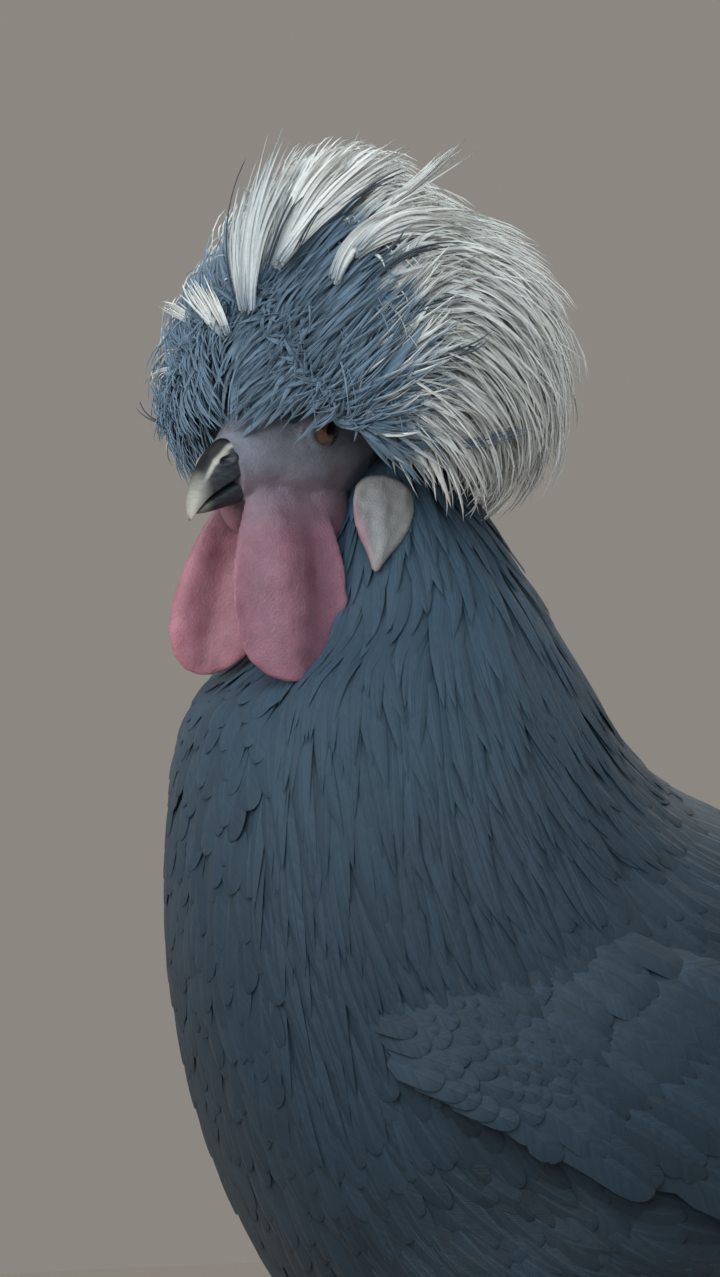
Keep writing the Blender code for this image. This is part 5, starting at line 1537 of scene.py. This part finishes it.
class POLISH_OT_legs(bpy.types.Operator):
    """The shanks and feet: skin with overlapping scutes in front and on the toes, spurs and claws"""
    bl_idname = "polish.legs"
    bl_label = "Legs"

    def execute(self, context):
        settings = context.scene.polish_legs
        finishes = (self.skin_finish(settings), self.plate_finish(settings.scale),
                    self.claw_finish(context.scene.polish_face.horn))
        for side, word in SIDES:
            self.leg(side, word, *finishes)
        return {"FINISHED"}

    def skin_finish(self, settings):
        """Small slate scales with paler skin between them"""
        made, tree, shader = material("scales", {"Roughness": 0.42})
        cells = texture(tree, "Voronoi", Scale=1000.0, feature="DISTANCE_TO_EDGE")
        dust = texture(tree, "Noise", Scale=160.0, Detail=5.0)
        edge = ramp(tree, cells, ((0.0, (0, 0, 0)), (0.12, (1, 1, 1))))
        base = mottled(tree, dust, settings.scale, 0.7, 1.5)
        tree.links.new(mix_colour(tree, edge, scaled(settings.sole, 0.6), base), shader.inputs["Base Color"])
        height = math_node(tree, "ADD", edge, math_node(tree, "MULTIPLY", dust, 0.4))
        relief(tree, shader, height, strength=0.6, depth=0.00025)
        return made

    def plate_finish(self, scale):
        """Smoother scutes, each lighter towards its free edge"""
        made, tree, shader = material("scutes", {"Roughness": 0.36})
        tones = [(place, scaled(scale, factor))
                 for place, factor in ((0.0, 0.6), (0.6, 1.5), (0.85, 2.4), (1.0, 1.4))]
        tone = ramp(tree, attribute(tree, "along"), tones)
        noise = texture(tree, "Noise", Scale=700.0, Detail=3.0)
        tree.links.new(mix_colour(tree, 0.35, tone, noise, "MULTIPLY"), shader.inputs["Base Color"])
        return made

    def claw_finish(self, horn):
        """Streaked dark horn"""
        made, tree, shader = material("claw", {"Roughness": 0.34})
        noise = texture(tree, "Noise", Scale=500.0, Detail=4.0)
        tree.links.new(mottled(tree, noise, horn, 0.8, 2.6), shader.inputs["Base Color"])
        return made

    def leg(self, side, word, skin_finish, plate_finish, claw_finish):
        """One leg: its skin in one piece, its claws, and its scutes"""
        hock, ankle = np.array((side * STANCE_X, *HOCK)), np.array((side * STANCE_X, *ANKLE))
        shape, claws = bmesh.new(), bmesh.new()
        plates = self.shank(shape, side, hock, ankle)
        foot = ankle + unit(ankle - hock) * 0.3
        for toe in TOES:
            plates += self.toe(shape, claws, side, foot, toe)
        skin = melt("leg_skin_" + word, shape, cell=0.7, smooth=3)
        flat = stored((0, 0, 0))[2]
        for corner in skin.data.vertices:
            if corner.co.z < flat + 0.0001:
                corner.co.z = flat
        finish_piece(skin, skin_finish, "slate_scale", "shank_" + word, "foot_" + word)
        piece = object_from("claws_" + word, mesh_from("claws_" + word, claws))
        finish_piece(piece, claw_finish, "horn", *(f"claw_{toe[0]}_{word}" for toe in TOES))
        finish_piece(self.scutes(plates, word), plate_finish, "slate_scale")

    def shank(self, shape, side, hock, ankle):
        """Adds a shank and its spur to the shape, and gives the places of its scutes"""
        down = unit(ankle - hock)
        fore = unit(np.cross(ACROSS, down))
        turn = circle(24)

        def girth(share):
            return (float(np.interp(share, SHANK[:, 0], SHANK[:, i])) for i in (1, 2))

        rings = []
        for share in np.linspace(-0.03, 1, 34):
            size = SHANK_RADIUS * min(1, 0.3 + 5.4 * (share + 0.03))
            deep, wide = (v * size for v in girth(share))
            rings.append(hock + (ankle - hock) * share + fore * (deep * np.cos(turn))[:, None]
                         + ACROSS * (wide * np.sin(turn))[:, None])
        loft(shape, rings)
        for deep, size in ((-3, 6.0), (4, 6.2), (9, 6.6)):
            ball(shape, ankle + down * deep, np.eye(3), np.array((size, size, size * 0.9)), 20, 14)
        spur = hock + (ankle - hock) * 0.7 + np.array((-side * 2.2, 2.5, 0))
        way = unit(np.array((-side * 0.45, 0.85, -0.15)))
        for i in range(12):
            ball(shape, spur + way * i, np.eye(3), np.full(3, 2.7 - 0.19 * i), 12, 8)
        plates = []
        front = -fore if fore[1] > 0 else fore
        for row, heading in enumerate(SCUTE_ROWS):
            ahead, aside = math.cos(math.radians(heading)), math.sin(math.radians(heading))
            for share in np.linspace(0.13 + 0.02 * (row % 2), 1.0, 20):
                deep, wide = (v * SHANK_RADIUS for v in girth(share))
                face = unit(front * ahead / deep + np.array((aside / wide, 0, 0)))
                spot = hock + (ankle - hock) * share + front * deep * ahead + np.array((wide * aside, 0, 0))
                plates.append((spot, down, face, 6.4, deep * (0.6 if row < 2 else 0.48), 1.0))
        return plates

    def toe(self, shape, claws, side, foot, toe):
        """Adds a toe to the shape and its claw to the claws, and gives the places of its scutes"""
        _, heading, length, radius, joints = toe
        turn, heading = circle(24), math.radians(heading) * side
        ahead = np.array((math.sin(heading), -math.cos(heading), 0))
        sideways = np.cross(ahead, UP)
        root = np.array((foot[0], foot[1] - 2, 0)) + ahead * 1.5
        steps = np.linspace(0, 1, 26)
        thick = np.interp(steps, TOE_SHAPE[:, 0], TOE_SHAPE[:, 1]) * radius
        raised = np.interp(steps, TOE_SHAPE[:, 0], TOE_SHAPE[:, 2])
        knuckle = 1 + 0.1 * sum(np.exp(-((steps - j) / 0.06) ** 2) for j in joints)
        rings = []
        for s, size, up, lump in zip(steps, thick, raised, knuckle):
            centre = root + ahead * length * s + UP * (size - SOLE_CUT + up)
            rings.append(centre + sideways * (size * lump * np.cos(turn))[:, None]
                         + UP * (size * (1 + (lump - 1) * 0.6) * np.sin(turn))[:, None])
        loft(shape, rings)
        plates = []
        for s in np.arange(5.0 / length, 0.93, 4.2 / length):
            size, up = float(np.interp(s, steps, thick)), float(np.interp(s, steps, raised))
            top = root + ahead * length * s + UP * (2 * size - SOLE_CUT + up - 0.35)
            plates.append((top + UP * 0.3, ahead, UP, 5.6, size * 0.85, 0.6))
        end = root + ahead * (length + 0.3) + UP * (thick[-1] - SOLE_CUT + raised[-1])
        rings = []
        for s in np.linspace(0, 1, 16):
            width = float(np.interp(s, (0, 0.4, 0.75, 1), (1, 0.78, 0.46, 0.12))) * thick[-1] * 0.85
            slope = -0.8 * s
            up = UP * math.cos(slope) - ahead * math.sin(slope)
            middle = end + ahead * CLAW_LENGTH * s + UP * (1.8 * s - 3 * s * s)
            ring = (middle + sideways * (width * 0.7 * np.cos(turn))[:, None]
                    + up * (width * np.sin(turn))[:, None])
            ring[:, 2] = np.maximum(ring[:, 2], 0.02)
            rings.append(ring)
        loft(claws, rings)
        return plates

    def scutes(self, plates, word):
        """Overlapping plates at their places"""
        spot, way, face, long, half, rise = (np.array(v, float) for v in zip(*plates))
        n = len(spot)
        t = np.array((-0.45, -0.2, 0.05, 0.3, 0.45, 0.52, 0.55))
        lift = rise[:, None] * (-0.15 + 0.75 * (t + 0.45))[None]
        run = (spot[:, None] + way[:, None] * (long[:, None] * t[None])[..., None]
               + face[:, None] * lift[..., None])
        run[..., 2] = np.maximum(run[..., 2], 1.5)
        width = half[:, None] * np.array((0.9, 1, 1, 1, 0.92, 0.6, 0))[None]
        uv = np.stack((np.linspace(0.05, 0.95, n), np.full(n, 0.5)), -1)
        return quills("scutes_" + word, run, np.repeat(face[:, None], len(t), axis=1), width, 0.22, 0.27,
                      np.linspace(0, 1, n), np.zeros(n), uv)


class POLISH_OT_stage(bpy.types.Operator):
    """A pale floor, soft lights and the camera"""
    bl_idname = "polish.stage"
    bl_label = "Stage"

    def execute(self, context):
        scene = context.scene
        settings = scene.polish_stage
        self.floor(scene, settings.floor)
        turn, height = math.radians(VIEW_AZIMUTH), math.radians(VIEW_HEIGHT)
        right = np.array((math.cos(turn), math.sin(turn), 0))
        near = np.array((math.sin(turn) * math.cos(height), -math.cos(turn) * math.cos(height),
                         math.sin(height)))
        target = stored(right * VIEW_ALONG + UP * VIEW_UP)
        camera = self.place(scene, bpy.data.cameras.new("camera"), target + near * settings.distance, near)
        camera.data.sensor_width = SENSOR
        camera.data.lens = SENSOR * settings.distance / (PHOTO_TALL / PHOTO_SCALE * MM)
        camera.data.clip_start = 0.05
        scene.camera = camera

        level = np.array((near[0], near[1], 0))
        face = stored(seen_at(185, 600, 10))
        for name, place, aim, size, power, fan, colour in (
                ("sky", target - level * 0.45 + UP * 1.3 + right * 0.1, target, 1.3, 13, 180,
                 (1, 0.98, 0.94)),
                ("rim", target - level * 0.9 + UP * 0.7 + right * 0.5, target, 0.8, 2, 180,
                 (1, 0.97, 0.92)),
                ("side", face + level * 0.42 + UP * 0.05 - right * 0.4, face, 0.12, 0.022, 20,
                 (1, 0.94, 0.93)),
                ("fill", target + level * 1.5 + UP * 0.95 - right * 0.4, target, 1.8, 35, 180,
                 (0.82, 0.93, 1))):
            lamp = bpy.data.lights.new(name, "AREA")
            lamp.energy, lamp.size, lamp.color, lamp.spread = power, size, colour, math.radians(fan)
            self.place(scene, lamp, place, place - aim)
        world = bpy.data.worlds.new("studio")
        world.use_nodes = True
        world.node_tree.nodes["Background"].inputs[0].default_value = (0.262, 0.243, 0.222, 1)
        world.node_tree.nodes["Background"].inputs[1].default_value = 1.0
        scene.world = world
        scene.view_settings.view_transform = "Standard"
        return {"FINISHED"}

    def floor(self, scene, colour):
        """A round pale floor"""
        shape = bmesh.new()
        bmesh.ops.create_circle(shape, segments=96, radius=1.0, cap_ends=True)
        floor = bpy.data.objects.new("floor", mesh_from("floor", shape, closed=False))
        scene.collection.objects.link(floor)
        made, tree, shader = material("floor", {"Roughness": 0.9})
        tree.links.new(mottled(tree, texture(tree, "Noise", Scale=3.0, Detail=3.0), colour, 0.95, 1.05),
                       shader.inputs["Base Color"])
        floor.data.materials.append(made)

    def place(self, scene, data, spot, back):
        """Puts a lamp or camera at a spot, with its back turned this way"""
        made = bpy.data.objects.new(data.name, data)
        scene.collection.objects.link(made)
        made.location = Vector(spot)
        made.rotation_euler = Vector(back).to_track_quat("Z", "Y").to_euler()
        return made


class POLISH_PT_panel(bpy.types.Panel):
    """Lists the steps that build the bird"""
    bl_label = "Polish Cock"
    bl_idname = "POLISH_PT_panel"
    bl_space_type = "VIEW_3D"
    bl_region_type = "UI"
    bl_category = "Polish Cock"

    def draw(self, context):
        for step in STEPS:
            self.layout.operator(step.bl_idname)
        for group, _ in GROUPS:
            settings = getattr(context.scene, group)
            for prop in settings.__annotations__:
                self.layout.prop(settings, prop)


GROUPS = (("polish_plumage", PlumageSettings), ("polish_face", FaceSettings), ("polish_legs", LegSettings),
          ("polish_stage", StageSettings))
STEPS = (POLISH_OT_skin, POLISH_OT_coat, POLISH_OT_wings, POLISH_OT_tail, POLISH_OT_crest, POLISH_OT_face,
         POLISH_OT_eyes, POLISH_OT_bill, POLISH_OT_legs, POLISH_OT_stage)


def register():
    """Makes the settings, steps and panel known."""
    for name, group in GROUPS:
        bpy.utils.register_class(group)
        setattr(bpy.types.Scene, name, PointerProperty(type=group))
    for step in STEPS:
        bpy.utils.register_class(step)
    bpy.utils.register_class(POLISH_PT_panel)


def unregister():
    """Takes them away again."""
    bpy.utils.unregister_class(POLISH_PT_panel)
    for step in reversed(STEPS):
        bpy.utils.unregister_class(step)
    for name, group in reversed(GROUPS):
        delattr(bpy.types.Scene, name)
        bpy.utils.unregister_class(group)


def main():
    """Builds the bird step by step."""
    register()
    bpy.ops.polish.skin()
    bpy.ops.polish.coat()
    bpy.ops.polish.wings()
    bpy.ops.polish.tail()
    bpy.ops.polish.crest()
    bpy.ops.polish.face()
    bpy.ops.polish.eyes()
    bpy.ops.polish.bill()
    bpy.ops.polish.legs()
    bpy.ops.polish.stage()


if __name__ == "__main__":
    main()
